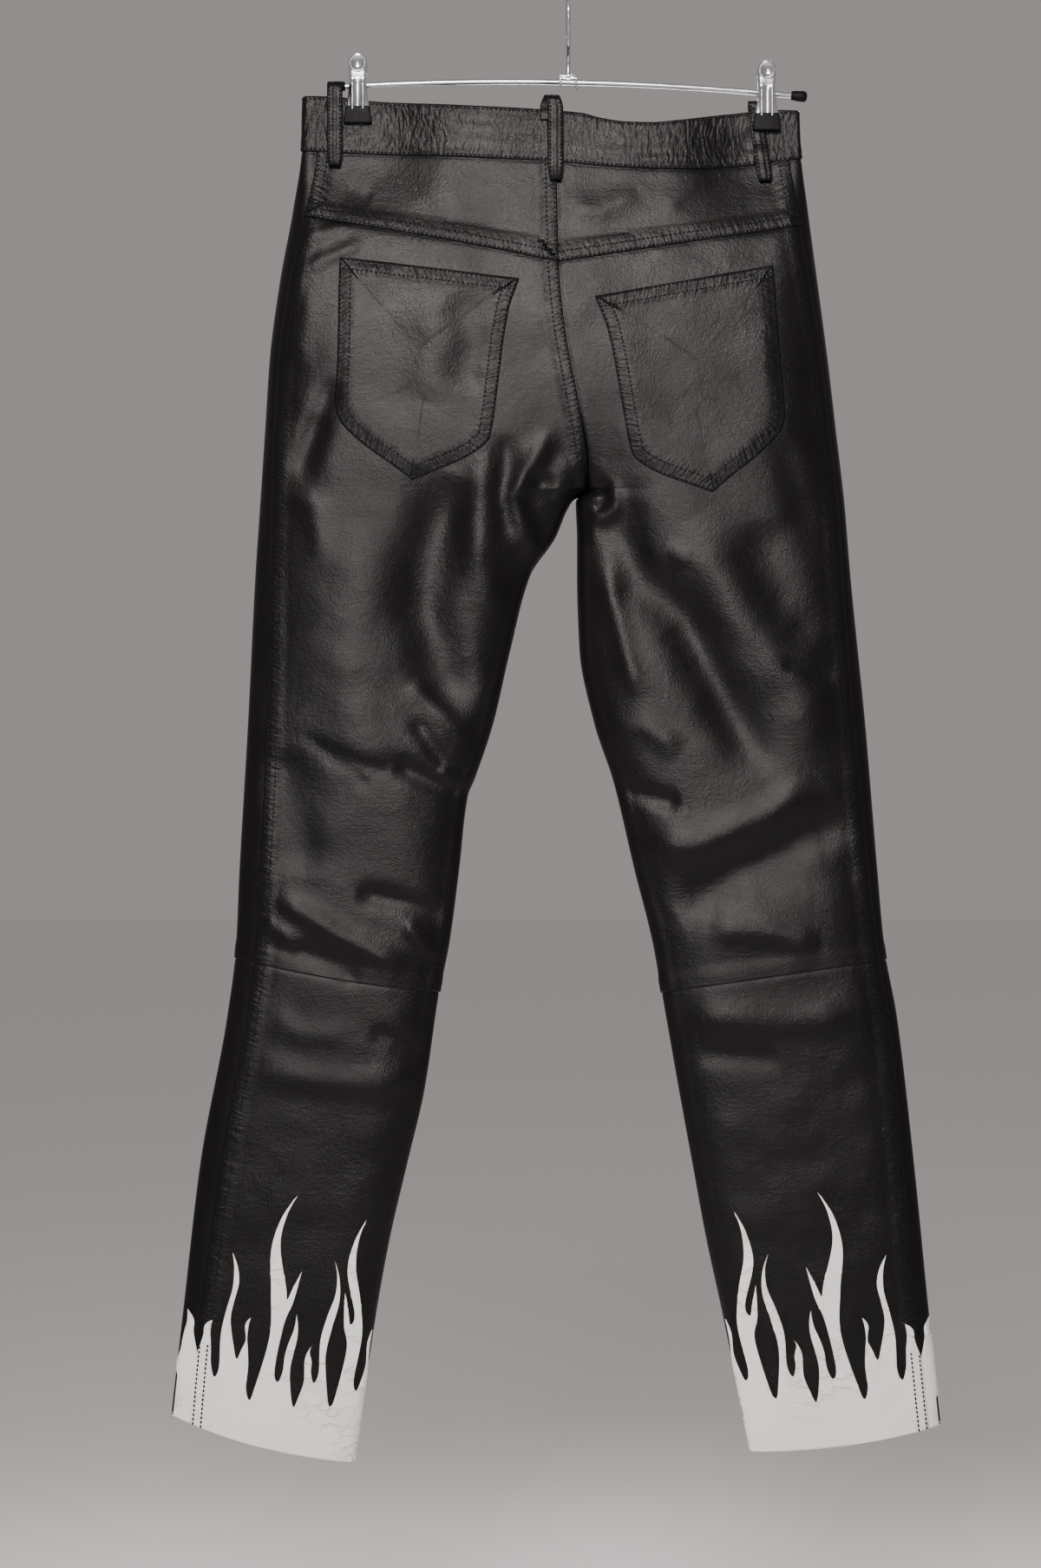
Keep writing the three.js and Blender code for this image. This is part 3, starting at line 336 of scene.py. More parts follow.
def on_layer(layer, x, z):
    """Points and normals of one layer at places seen from behind."""
    x, z = np.broadcast_arrays(np.asarray(x, float), np.asarray(z, float))
    points, normals = np.zeros(x.shape + (3,)), np.zeros(x.shape + (3,))
    middle = centre_x[layer](np.maximum(z, CROTCH_Z))
    for side, here in (("left", x < middle), ("right", x >= middle)):
        inner = inner_edge_x(side, layer, z)
        around = around_from_share((x - inner) / (outer_x[side](z) - inner))
        around = around if layer == "back" else 2 - around
        if here.any():
            normal = outward(side, around, z)
            points[here] = surface(side, around, z)[here]
            normals[here] = normal[here]
    return points, normals


def seam_z(line, share):
    inner, outer, sag = line
    return inner + (outer - inner) * share + sag * np.sin(math.pi * share)


def rows_between(start, end, count):
    return [tuple(a + (b - a) * i / count for a, b in zip(start, end)) for i in range(count + 1)]


def seat_rows(start, crotch, straight_count, arc_count):
    """Rows down to the crotch whose inner ends follow the seat seam as it turns under."""
    count = straight_count + arc_count
    rows = []
    for i in range(count + 1):
        turn = max(i - straight_count, 0) / arc_count
        straight = start[0] + (SEAT_TURN_Z - start[0]) * min(i / straight_count, 1)
        inner = straight + (CROTCH_Z - SEAT_TURN_Z) * math.sin(turn * math.pi / 2)
        outer = start[1] + (crotch[1] - start[1]) * i / count
        rows.append((inner, outer, start[2] + (crotch[2] - start[2]) * i / count))
    return rows


def close_set(rows):
    """Rows with a few close ones beside the first and the last, and one a little before the first."""
    rows = [np.array(row, float) for row in rows]
    steps = (0.1, 0.24, 0.45, 0.7)
    first = [rows[0] + (rows[1] - rows[0]) * s for s in steps]
    last = [rows[-1] + (rows[-2] - rows[-1]) * s for s in reversed(steps)]
    way = (rows[0] - rows[1]) / abs(rows[0][0] - rows[1][0])
    return [rows[0] + way * ROW_BEFORE, rows[0]] + first + rows[1:-1] + last + [rows[-1]]


def new_piece(data, look, stands_for=()):
    """An object of the mesh's or curve's own name, in the frame."""
    piece = bpy.data.objects.new(data.name, data)
    bpy.context.scene.collection.objects.link(piece)
    data.materials.append(look)
    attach(piece, "root")
    if stands_for:
        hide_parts(*stands_for)
    return piece


def smooth_faces(mesh):
    for polygon in mesh.polygons:
        polygon.use_smooth = True


def mesh_from(bm, name):
    mesh = bpy.data.meshes.new(name)
    bm.to_mesh(mesh)
    bm.free()
    smooth_faces(mesh)
    return mesh


def lay(mesh, points, facing):
    """Carries a mesh to its points and turns its faces to the seat's side (-1) or the fly's side (1)."""
    mesh.vertices.foreach_set("co", (points * MM).ravel())
    mesh.update()
    turned = sum(polygon.normal.y * polygon.area for polygon in mesh.polygons)
    if turned * facing < 0:
        mesh.flip_normals()


def set_attribute(mesh, name, values):
    attribute = mesh.attributes.new(name, "FLOAT", "POINT")
    attribute.data.foreach_set("value", np.ascontiguousarray(values, dtype=np.float32).ravel())


# Looks: node graphs in real sizes. Bump heights are millimetres.
def node(tree, kind, inputs=None, **settings):
    made = tree.nodes.new("ShaderNode" + kind)
    for key, value in settings.items():
        setattr(made, key, value)
    for key, value in (inputs or {}).items():
        if isinstance(value, bpy.types.NodeSocket):
            tree.links.new(value, made.inputs[key])
        else:
            made.inputs[key].default_value = value
    return made


def maths(tree, operation, *values):
    return node(tree, "Math", dict(enumerate(values)), operation=operation).outputs[0]


def total(tree, first, *others):
    for other in others:
        first = maths(tree, "ADD", first, other)
    return first


def ramp(tree, value, stops):
    """A curve through (place, height) stops, as a colour ramp from 0 to 1."""
    made = node(tree, "ValToRGB", {"Fac": value})
    band = made.color_ramp
    band.interpolation = "B_SPLINE"
    while len(band.elements) < len(stops):
        band.elements.new(1.0)
    for element, (place, height) in zip(band.elements, stops):
        element.position = place
        element.color = (height, height, height, 1)
    return made.outputs["Color"]


def material(name, colour, roughness, metallic=0.0, specular=0.5):
    made = bpy.data.materials.new(name)
    made.use_nodes = True
    tree = made.node_tree
    shader = tree.nodes["Principled BSDF"]
    shader.inputs["Base Color"].default_value = (*colour, 1)
    shader.inputs["Roughness"].default_value = roughness
    shader.inputs["Metallic"].default_value = metallic
    shader.inputs["Specular IOR Level"].default_value = specular
    return made, tree, shader


def times(tree, one, other):
    return maths(tree, "MULTIPLY", one, other)


def mapped(tree, value, low, high, to_low=0.0, to_high=1.0):
    """A value carried from one range to another, and held at its ends."""
    return node(tree, "MapRange", {"Value": value, "From Min": low, "From Max": high, "To Min": to_low,
                                   "To Max": to_high}).outputs[0]


def object_place(tree):
    return node(tree, "TexCoord").outputs["Object"]


def bent_place(tree, place, scale, amount):
    """Places pushed about by a coarse noise."""
    warp = node(tree, "TexNoise", {"Vector": place, "Scale": scale, "Detail": 2.0}).outputs["Color"]
    return node(tree, "MixRGB", {0: amount, 1: place, 2: warp}, blend_type="ADD").outputs[0]


def streaked(tree, place, degrees, scale):
    """Places turned about Y and scaled, so that a noise of them runs in streaks."""
    return node(tree, "Mapping", {"Vector": place, "Rotation": (0, math.radians(degrees), 0),
                                  "Scale": scale}).outputs[0]


def add_bump(tree, shader, height):
    bump = node(tree, "Bump", {"Height": height, "Distance": MM, "Strength": 1.0})
    tree.links.new(bump.outputs["Normal"], shader.inputs["Normal"])


def noise(tree, vector, size, detail=2.0, rough=0.5, centred=True):
    """Noise with cells of a size in millimetres, about 0 when centred."""
    made = node(tree, "TexNoise", {"Vector": vector, "Scale": 1 / (size * MM), "Detail": detail,
                                   "Roughness": rough})
    value = made.outputs["Fac"]
    return maths(tree, "SUBTRACT", value, 0.5) if centred else value


def mixed_colour(tree, amount, dark, light):
    made = node(tree, "Mix", {"Factor": amount}, data_type="RGBA")
    made.inputs[6].default_value = (*dark, 1)
    made.inputs[7].default_value = (*light, 1)
    return made.outputs[2]


# Height of the leather against the distance from a stitched edge, as a share of SEAM_REACH millimetres.
SEAM_REACH = 16.0
DOUBLE_ROWS = ((0.0, 0.1), (0.05, 0.75), (0.125, 0.62), (0.33, 1.0), (0.55, 0.62), (0.8, 0.78), (1.0, 0.74))
BAND_ROW = ((0.0, 0.3), (0.06, 0.75), (0.145, 0.55), (0.4, 0.75), (1.0, 0.75))
LOOP_ROW = ((0.0, 0.4), (0.05, 0.8), (0.08, 0.65), (0.37, 1.0), (1.0, 1.0))
POCKET_ROWS = ((0.0, 0.1), (0.04, 0.75), (0.1, 0.62), (0.36, 1.0), (0.6, 0.62), (0.85, 0.78), (1.0, 0.74))
# How strongly the puckers beside a stitched edge show, along the same reach.
PUCKER_REACH = ((0.0, 0.5), (0.12, 1.0), (0.55, 0.9), (0.8, 0.35), (1.0, 0.0))
# Specular level of the black leather, the same all over.
SHINE = 0.25


def black_leather(name, rows=DOUBLE_ROWS, pucker=0.26, stretch=0.0):
    """Finished black hide: pebbled grain, uneven gloss, creases, and puckers beside stitched edges."""
    made, tree, shader = material(name, (0.003, 0.0028, 0.0027), 0.45, 0.0, SHINE)
    place = object_place(tree)
    bent = bent_place(tree, place, 28.0, 0.012)
    cells = node(tree, "TexVoronoi", {"Vector": place, "Scale": 1 / (1.15 * MM)}, feature="SMOOTH_F1")
    pebble = times(tree, cells.outputs["Distance"], -0.1)
    fine = times(tree, noise(tree, place, 1.9, 4.0, 0.65), 0.28)
    # Creases lie in patches, each a thin valley of a bent noise.
    valley = maths(tree, "ABSOLUTE", noise(tree, bent, 11.0, 3.0, 0.62))
    crease = times(tree, maths(tree, "MINIMUM", valley, 0.12), 0.65)
    patches = mapped(tree, noise(tree, place, 75.0, 1.0, 0.4, False), 0.46, 0.64)
    drawn = streaked(tree, bent, 28, (0.5, 1.0, 1.0))
    line = maths(tree, "MINIMUM", maths(tree, "ABSOLUTE", noise(tree, drawn, 6.0, 3.0, 0.55)), 0.12)
    creased = maths(tree, "ADD", times(tree, crease, patches), times(tree, line, 0.42))
    soft = times(tree, noise(tree, bent, 30.0, 3.0, 0.45), 0.9)
    # The stitched edge's groove, dull where the rows press it, with pleats slanting along it.
    seam = node(tree, "Attribute", attribute_name="seam").outputs["Fac"]
    run = node(tree, "Attribute", attribute_name="run").outputs["Fac"]
    across = maths(tree, "DIVIDE", seam, SEAM_REACH)
    profile = ramp(tree, across, rows)
    groove = times(tree, profile, 0.75)
    dull = mapped(tree, profile, 0.25, 0.6, 0.3, 0.0)
    near = ramp(tree, across, PUCKER_REACH)
    slanted = maths(tree, "ADD", run, times(tree, seam, 0.35))
    pleat_place = node(tree, "CombineXYZ", {"X": slanted, "Y": times(tree, seam, 0.16)}).outputs[0]
    pleats = node(tree, "TexNoise", {"Vector": pleat_place, "Scale": 0.34, "Detail": 2.0}).outputs["Fac"]
    pleats = times(tree, maths(tree, "SUBTRACT", pleats, 0.5), pucker * 4.0)
    height = total(tree, pebble, fine, creased, soft, groove, times(tree, pleats, near))
    if stretch:
        turned = streaked(tree, bent, -30, (1.0, 1.0, 0.27))
        waves = times(tree, noise(tree, turned, 3.2, 2.0, 0.45), stretch * 4.0)
        strong = mapped(tree, noise(tree, place, 60.0, 0.0, 0.5, False), 0.3, 0.6, 0.35)
        height = maths(tree, "ADD", height, times(tree, waves, strong))
    add_bump(tree, shader, height)
    gloss = mapped(tree, noise(tree, place, 55.0, 4.0, 0.6, False), 0.3, 0.7, 0.29, 0.39)
    tree.links.new(maths(tree, "ADD", gloss, dull), shader.inputs["Roughness"])
    cloudy = noise(tree, place, 40.0, 3.0, 0.6, False)
    tone = mixed_colour(tree, cloudy, (0.0014, 0.0013, 0.0012), (0.0035, 0.0032, 0.003))
    tree.links.new(tone, shader.inputs["Base Color"])
    return made


def white_leather():
    made, tree, shader = material("white_flame_leather", (0.88, 0.87, 0.85), 0.5)
    place = object_place(tree)
    bent = bent_place(tree, place, 22.0, 0.02)
    long = streaked(tree, bent, 24, (0.45, 1, 1))
    valley = maths(tree, "ABSOLUTE", noise(tree, long, 15.0, 3.0, 0.6))
    crease = maths(tree, "MINIMUM", valley, 0.05)
    patches = mapped(tree, noise(tree, place, 55.0, 1.0, 0.4, False), 0.44, 0.6)
    creased = times(tree, times(tree, crease, patches), 14.0)
    fine = times(tree, noise(tree, place, 0.8, 3.0, 0.6), 0.05)
    add_bump(tree, shader, total(tree, creased, fine, times(tree, noise(tree, bent, 22.0), 1.6)))
    # The base colour is painted darker along the crease lines where the patches allow, a painted shade in the
    # creases.
    line = times(tree, maths(tree, "SUBTRACT", 0.05, crease), 12.0)
    tone = mixed_colour(tree, times(tree, line, patches), (0.88, 0.87, 0.85), (0.66, 0.645, 0.62))
    tree.links.new(tone, shader.inputs["Base Color"])
    return made


def thread():
    made, tree, shader = material("black_thread", (0.005, 0.005, 0.005), 0.7, 0.0, 0.2)
    add_bump(tree, shader, times(tree, noise(tree, object_place(tree), 0.35, 2.0), 0.12))
    return made


def polished(name, colour, low, high, scratch):
    """Plated metal with faint cloudy wear."""
    made, tree, shader = material(name, colour, low, 1.0)
    place = object_place(tree)
    wear = mapped(tree, noise(tree, place, 9.0, 5.0, 0.65, False), 0.4, 0.7, low, high)
    tree.links.new(wear, shader.inputs["Roughness"])
    long = streaked(tree, place, 0, (0.2, 1, 1))
    add_bump(tree, shader, times(tree, noise(tree, long, 1.2, 4.0, 0.7), scratch))
    return made


def rubber():
    made, tree, shader = material("black_rubber", (0.004, 0.004, 0.004), 0.5, 0.0, 0.16)
    place = object_place(tree)
    add_bump(tree, shader, times(tree, noise(tree, place, 0.5, 3.0), 0.05))
    dull = mapped(tree, noise(tree, place, 5.0, 3.0, 0.5, False), 0.0, 1.0, 0.4, 0.65)
    tree.links.new(dull, shader.inputs["Roughness"])
    return made


LEATHER_LOOK = black_leather("black_leather")
BAND_LOOK = black_leather("waistband_leather", BAND_ROW, 0.16, 0.3)
POCKET_LOOK = black_leather("pocket_leather", POCKET_ROWS, 0.34)
LOOP_LOOK = black_leather("belt_loop_leather", LOOP_ROW, 0.08)
WHITE_LOOK = white_leather()
THREAD_LOOK = thread()
CHROME_LOOK = polished("hanger_chrome", (0.7, 0.71, 0.73), 0.16, 0.3, 0.0015)
RUBBER_LOOK = rubber()
BUTTON_LOOK = polished("dark_button_metal", (0.09, 0.09, 0.095), 0.22, 0.4, 0.01)


# Panels. Each is a grid of rows and columns on the surface, then dressed at its edges.
# A lapped edge stands OVER its neighbour as far as LAP_FLAT and eases down to LAP_END, with a rounded corner.
OVER, LAP_FLAT, LAP_END = 1.0, 8.5, 17.0
CORNER_DROP, CORNER_WIDTH = 0.5, 0.9
# An edge beneath sinks by UNDER within SUNK_WIDTH, and runs on beneath by UNDER_REACH of around.
UNDER, SUNK_WIDTH, UNDER_REACH = 0.45, 3.5, 0.05
# A grid's first row lies this far above its seam.
ROW_BEFORE = 2.0
# The two stitch rows beside an edge.
ROW_NEAR, ROW_FAR = 2.0, 8.8


def spread(count):
    """Shares from 0 to 1, with close ones beside each end."""
    cell = 1 / count
    close = [cell * part for part in (0.12, 0.3, 0.6)]
    inside = [i * cell for i in range(1, count)]
    return np.array([0.0] + close + inside + [1 - part for part in reversed(close)] + [1.0])


def part(values, start, stop=None):
    """Some columns of a grid of values, or the one column that stands for them all."""
    return values if values.shape[1] == 1 else values[:, start:stop]


def back_columns(count):
    """From the inner edge to the side seam, nearly evenly across."""
    shares = spread(count)[None, :]

    def at(seam, z):
        even = around_from_share(shares * share_out(seam))
        return even * 0.6 + seam * shares * 0.4
    return at


def front_columns(side_count, front_count):
    """From the side seam over the outer edge, then on to the centre front or front inseam."""
    sideways = np.linspace(0, 1, side_count + 1)[None, :-1]
    shares = 1 - spread(front_count)[None, :]

    def at(seam, z):
        seam = part(seam, 0, side_count)
        over_edge = seam + (1 - seam) * sideways
        rest = 2 - (around_from_share(shares) * 0.6 + shares * 0.4)
        return np.concatenate([over_edge, np.broadcast_to(rest, (len(z), shares.shape[1]))], 1)
    return at


def crossing(side, rows, columns):
    """Where each row line crosses each column, settled in passes as each depends on the other."""
    rows = np.array(rows, float)
    inner, outer, sag = rows[:, 0:1], rows[:, 1:2], rows[:, 2:3]
    z = outer
    for _ in range(8):
        around = columns(side_seam_around(side, z), z)
        share = share_out(around)
        z = inner + (outer - inner) * share + sag * np.sin(math.pi * share)
    return around, z


def along_axis(points, axis):
    steps = np.linalg.norm(np.diff(points, axis=axis), axis=-1)
    start = np.zeros_like(np.take(steps, [0], axis=axis))
    return np.concatenate([start, np.cumsum(steps, axis=axis)], axis=axis)


def line_at(distance, far, points, normals):
    """Points and normals where each line of a grid comes to a distance."""
    both = np.concatenate([points, normals], -1)
    line = np.array([[np.interp(distance, far[i], both[i, :, k]) for k in range(6)]
                     for i in range(len(far))])
    return line[:, :3], line[:, 3:]


class Panel:
    """A panel's grid with its distances from its four edges, and what lies over or under it."""

    def __init__(self, side, around, z):
        self.around, self.z = around, z
        self.points = surface_past(side, around, z)
        self.normals = outward(side, around, z)
        across, down = along_axis(self.points, 1), along_axis(self.points, 0)
        self.far = {"first": across, "last": across[:, -1:] - across, "top": down, "bottom": down[-1:] - down}
        self.lift = np.zeros(z.shape)
        self.mark_seams(())

    def raise_edge(self, edge, share=1.0):
        far = self.far[edge]
        self.lift += share * OVER * (1 - smoothstep(LAP_FLAT, LAP_END, far))
        self.lift -= share * rounded_off(far, CORNER_DROP, CORNER_WIDTH)

    def sink_edge(self, edge, share=1.0):
        self.lift -= share * UNDER * (1 - smoothstep(0.0, SUNK_WIDTH, self.far[edge]))

    def mark_seams(self, stitched):
        self.seam, self.run = np.full(self.z.shape, SEAM_REACH), self.z.copy()
        for edge, share in stitched:
            far = self.far[edge] + (1 - share) * SEAM_REACH
            nearer = far < self.seam
            self.seam[nearer] = far[nearer]
            along = self.z if edge in ("first", "last") else self.points[..., 0]
            self.run[nearer] = along[nearer]

    def dressed(self):
        return self.points + self.normals * self.lift[..., None]

    def edge_row(self, edge, distance):
        """The dressed surface's points and normals along a line at a distance from an edge."""
        points, normals, far = self.dressed(), self.normals, self.far[edge]
        if edge in ("top", "bottom"):
            points, normals, far = points.swapaxes(0, 1), normals.swapaxes(0, 1), far.T
        if edge in ("last", "bottom"):
            points, normals, far = points[:, ::-1], normals[:, ::-1], far[:, ::-1]
        return line_at(distance, far, points, normals)


def grid_mesh(name, points, seam, run, flip):
    """A grid made flat, then carried to its points. Faces turn outwards."""
    rows, columns = points.shape[:2]
    bm = bmesh.new()
    bmesh.ops.create_grid(bm, x_segments=columns - 1, y_segments=rows - 1, size=1)
    if flip:
        bmesh.ops.reverse_faces(bm, faces=bm.faces[:])
    mesh = mesh_from(bm, name)
    mesh.vertices.foreach_set("co", (points.reshape(-1, 3) * MM).ravel())
    mesh.update()
    set_attribute(mesh, "seam", seam)
    set_attribute(mesh, "run", run)
    return mesh


def thicken(piece, thickness, offset=-1.0):
    solid = piece.modifiers.new("Thickness", "SOLIDIFY")
    solid.thickness = thickness * MM
    solid.offset = offset
    solid.use_even_offset = False


# Stitches: one small rounded thread made once, then repeated along each row.
def stitch_template():
    bm = bmesh.new()
    bmesh.ops.create_uvsphere(bm, u_segments=6, v_segments=4, radius=1.0,
                              matrix=Matrix.Rotation(math.pi / 2, 4, "Y"))
    bmesh.ops.scale(bm, vec=(1.35, 0.8, 0.44), verts=bm.verts[:])
    points = np.array([v.co[:] for v in bm.verts])
    faces = [[v.index for v in face.verts] for face in bm.faces]
    bm.free()
    return points, faces


STITCH_POINTS, STITCH_FACES = stitch_template()
stitch_rng = np.random.default_rng(11)


def stitch_frames(points, normals, keep=None, pitch=STITCH_PITCH, ends=1.5):
    """Places, directions and normals of the stitches along a line."""
    if keep is not None:
        chosen = keep(points)
        points, normals = points[chosen], normals[chosen]
    reach = np.concatenate([[0], np.cumsum(np.linalg.norm(np.diff(points, axis=0), axis=1))])
    count = max(int((reach[-1] - 2 * ends) / pitch), 2)
    at = np.linspace(ends, reach[-1] - ends, count)
    sample = lambda values, where: np.stack([np.interp(where, reach, values[:, k]) for k in range(3)], -1)
    place, normal = sample(points, at), sample(normals, at)
    direction = sample(points, np.minimum(at + 0.9, reach[-1])) - sample(points, np.maximum(at - 0.9, 0))
    return place, direction, normal


def unit(vectors):
    return vectors / np.maximum(np.linalg.norm(vectors, axis=-1, keepdims=True), 1e-9)


def sew(name, lines):
    """All stitches of some rows, joined in one piece."""
    place, direction, normal = (np.concatenate([line[k] for line in lines]) for k in range(3))
    count = len(place)
    normal = unit(normal)
    direction = unit(direction)
    sideways = unit(np.cross(normal, direction))
    slant = stitch_rng.normal(0.07, 0.03, (count, 1))
    direction = unit(direction + sideways * slant)
    sideways = np.cross(normal, direction)
    length = stitch_rng.uniform(0.92, 1.05, (count, 1))
    frame_axes = np.stack([direction * length, sideways, normal], 1)
    points = np.einsum("pk,nkc->npc", STITCH_POINTS, frame_axes) + (place + normal * 0.03)[:, None]
    size = len(STITCH_POINTS)
    faces = [[k + size * i for k in face] for i in range(count) for face in STITCH_FACES]
    mesh = bpy.data.meshes.new(name)
    mesh.from_pydata((points.reshape(-1, 3) * MM).tolist(), [], faces)
    smooth_faces(mesh)
    new_piece(mesh, THREAD_LOOK)


# Pieces laid on a panel, cut from an outline in pattern millimetres.
def patch(outline, spacing, rings=()):
    """A flat mesh of an outline, ringed inside its edge and cut into small cells."""
    bm = bmesh.new()
    face = bm.faces.new([bm.verts.new((a, 0, b)) for a, b in outline])
    face.normal_update()
    inner = [face]
    for width in rings:
        bmesh.ops.inset_region(bm, faces=inner, thickness=width, use_even_offset=True, use_boundary=True)
    if not rings:
        bmesh.ops.triangulate(bm, faces=bm.faces[:], ngon_method="EAR_CLIP")
    low, high = np.min(outline, axis=0), np.max(outline, axis=0)
    for axis, direction in ((0, (1, 0, 0)), (1, (0, 0, 1))):
        for place in np.arange(low[axis] + spacing / 2, high[axis], spacing):
            at = [component * place for component in direction]
            geometry = bm.verts[:] + bm.edges[:] + bm.faces[:]
            bmesh.ops.bisect_plane(bm, geom=geometry, dist=1e-4, plane_co=at, plane_no=direction)
    bmesh.ops.recalc_face_normals(bm, faces=bm.faces[:])
    return bm


def distance_to(outline, places):
    """Distance of places from a closed outline, and the run along it."""
    start = np.array(outline, float)
    step = np.roll(start, -1, axis=0) - start
    lengths = np.linalg.norm(step, axis=1)
    before = np.concatenate([[0], np.cumsum(lengths)[:-1]])
    nearest, run = np.full(len(places), 1e9), np.zeros(len(places))
    for a, d, length, base in zip(start, step, lengths, before):
        along = np.clip(((places - a) @ d) / (length * length), 0, 1)
        away = np.linalg.norm(places - a - along[:, None] * d, axis=1)
        nearer = away < nearest
        nearest[nearer], run[nearer] = away[nearer], (base + along * length)[nearer]
    return nearest, run


def smooth_path(points, step=2.0):
    """A curve through points, rounded everywhere but at those marked sharp with a third value."""
    made = []
    count = len(points)
    for i in range(count - 1):
        a, b = np.array(points[i][:2], float), np.array(points[i + 1][:2], float)
        before = a if points[i][2] or i == 0 else np.array(points[i - 1][:2], float)
        after = b if points[i + 1][2] or i + 2 == count else np.array(points[i + 2][:2], float)
        tangent_a, tangent_b = (b - before) / 2, (after - a) / 2
        pieces = max(int(np.linalg.norm(b - a) / step), 2)
        for k in range(pieces):
            u = k / pieces
            h = (2 * u**3 - 3 * u**2 + 1, u**3 - 2 * u**2 + u, 3 * u**2 - 2 * u**3, u**3 - u**2)
            made.append(a * h[0] + tangent_a * h[1] + b * h[2] + tangent_b * h[3])
    made.append(np.array(points[-1][:2], float))
    return made


def turned_front(line):
    return (line[0] - FRONT_RISE_DROP, line[1], line[2])


def above_crotch(z):
    return smoothstep(CROTCH_Z - 4, CROTCH_Z + 6, z)


def reach_under(columns, edge, above, below):
    """The same columns with one more that runs on beneath the neighbour."""
    def at(seam, z):
        inside, end = ((1, None), (0, 1)) if edge == "first" else ((0, -1), (-1, None))
        around = columns(part(seam, *inside), part(z, *inside))
        share = above_crotch(part(z, *end))
        step = UNDER_REACH * (above * share + below * (1 - share))
        if edge == "first":
            return np.concatenate([around[:, :1] - step, around], 1)
        return np.concatenate([around, around[:, -1:] + step], 1)
    return at


def reset_far(panel, edge, index):
    """Distances measured from the seam itself, not from the end of what runs on beneath."""
    panel.far[edge] = panel.far[edge] - np.take(panel.far[edge], [index], axis=1)


# Rows and columns of the grids.
YOKE_ROWS, SEAT_ROWS, ARC_ROWS, THIGH_ROWS, SHIN_ROWS = 26, 38, 32, 140, 130
FRONT_YOKE_ROWS, FRONT_SEAT_ROWS, FRONT_THIGH_ROWS, FRONT_SHIN_ROWS = 24, 36, 100, 90
BACK_COLUMNS, SIDE_COLUMNS, FRONT_COLUMNS = 80, 8, 56
BAND_ROWS, BAND_BACK_COLUMNS, BAND_SIDE_COLUMNS, BAND_FRONT_COLUMNS, TAB_COLUMNS = 26, 110, 10, 80, 18


def thigh_rows(start, end, count):
    rows = []
    for i in range(count + 1):
        u = i / count
        rows.append((start[0] + (end[0] - start[0]) * u ** 1.15, start[1] + (end[1] - start[1]) * u,
                     start[2] + (end[2] - start[2]) * u))
    return rows


def make_panels(side):
    lines = LINES[side]
    yoke_rows = rows_between(lines["waist"], lines["yoke"], YOKE_ROWS)
    seat = seat_rows(lines["yoke"], lines["crotch"], SEAT_ROWS, ARC_ROWS)
    thigh = thigh_rows(lines["crotch"], lines["knee"], THIGH_ROWS)
    shin = rows_between(lines["knee"], lines["hem"], SHIN_ROWS)
    plain_back = back_columns(BACK_COLUMNS)
    laps_left = side == "left"
    made = {}

    columns = plain_back if laps_left else reach_under(plain_back, "first", 1.0, 0.0)
    rows = close_set(yoke_rows)
    around, z = crossing(side, rows, columns)
    made["yoke"] = Panel(side, around, z)
    rows = close_set(seat + thigh[1:])
    around, z = crossing(side, rows, columns)
    made["back"] = Panel(side, around, z)
    rows = close_set(shin)
    around, z = crossing(side, rows, plain_back)
    made["back_lower"] = Panel(side, around, z)

    side_and_front = front_columns(SIDE_COLUMNS, FRONT_COLUMNS)

    def front_at(seam, z):
        around = side_and_front(part(seam, 1), part(z, 1))
        return np.concatenate([around[:, :1] - UNDER_REACH * 0.2, around], 1)
    front_at = reach_under(front_at, "last", 0.0 if laps_left else 1.0, 1.0)
    front_seat = seat_rows(turned_front(lines["waist"]), lines["crotch"], FRONT_SEAT_ROWS, ARC_ROWS)
    side_rows = rows_between(lines["waist"], lines["yoke"], FRONT_YOKE_ROWS)
    outers = [row[1] for row in side_rows] + [row[1] for row in seat[1:]]
    sags = [row[2] for row in side_rows] + [row[2] for row in seat[1:]]
    share = np.linspace(0, len(outers) - 1, len(front_seat))
    front_seat = [(row[0], np.interp(at, range(len(outers)), outers), np.interp(at, range(len(sags)), sags))
                  for row, at in zip(front_seat, share)]
    front_thigh = thigh_rows(lines["crotch"], lines["knee"], FRONT_THIGH_ROWS)
    around, z = crossing(side, close_set(front_seat + front_thigh[1:]), front_at)
    made["front"] = Panel(side, around, z)
    front_shin = rows_between(lines["knee"], lines["hem"], FRONT_SHIN_ROWS)
    around, z = crossing(side, close_set(front_shin), front_at)
    made["front_lower"] = Panel(side, around, z)
    return made


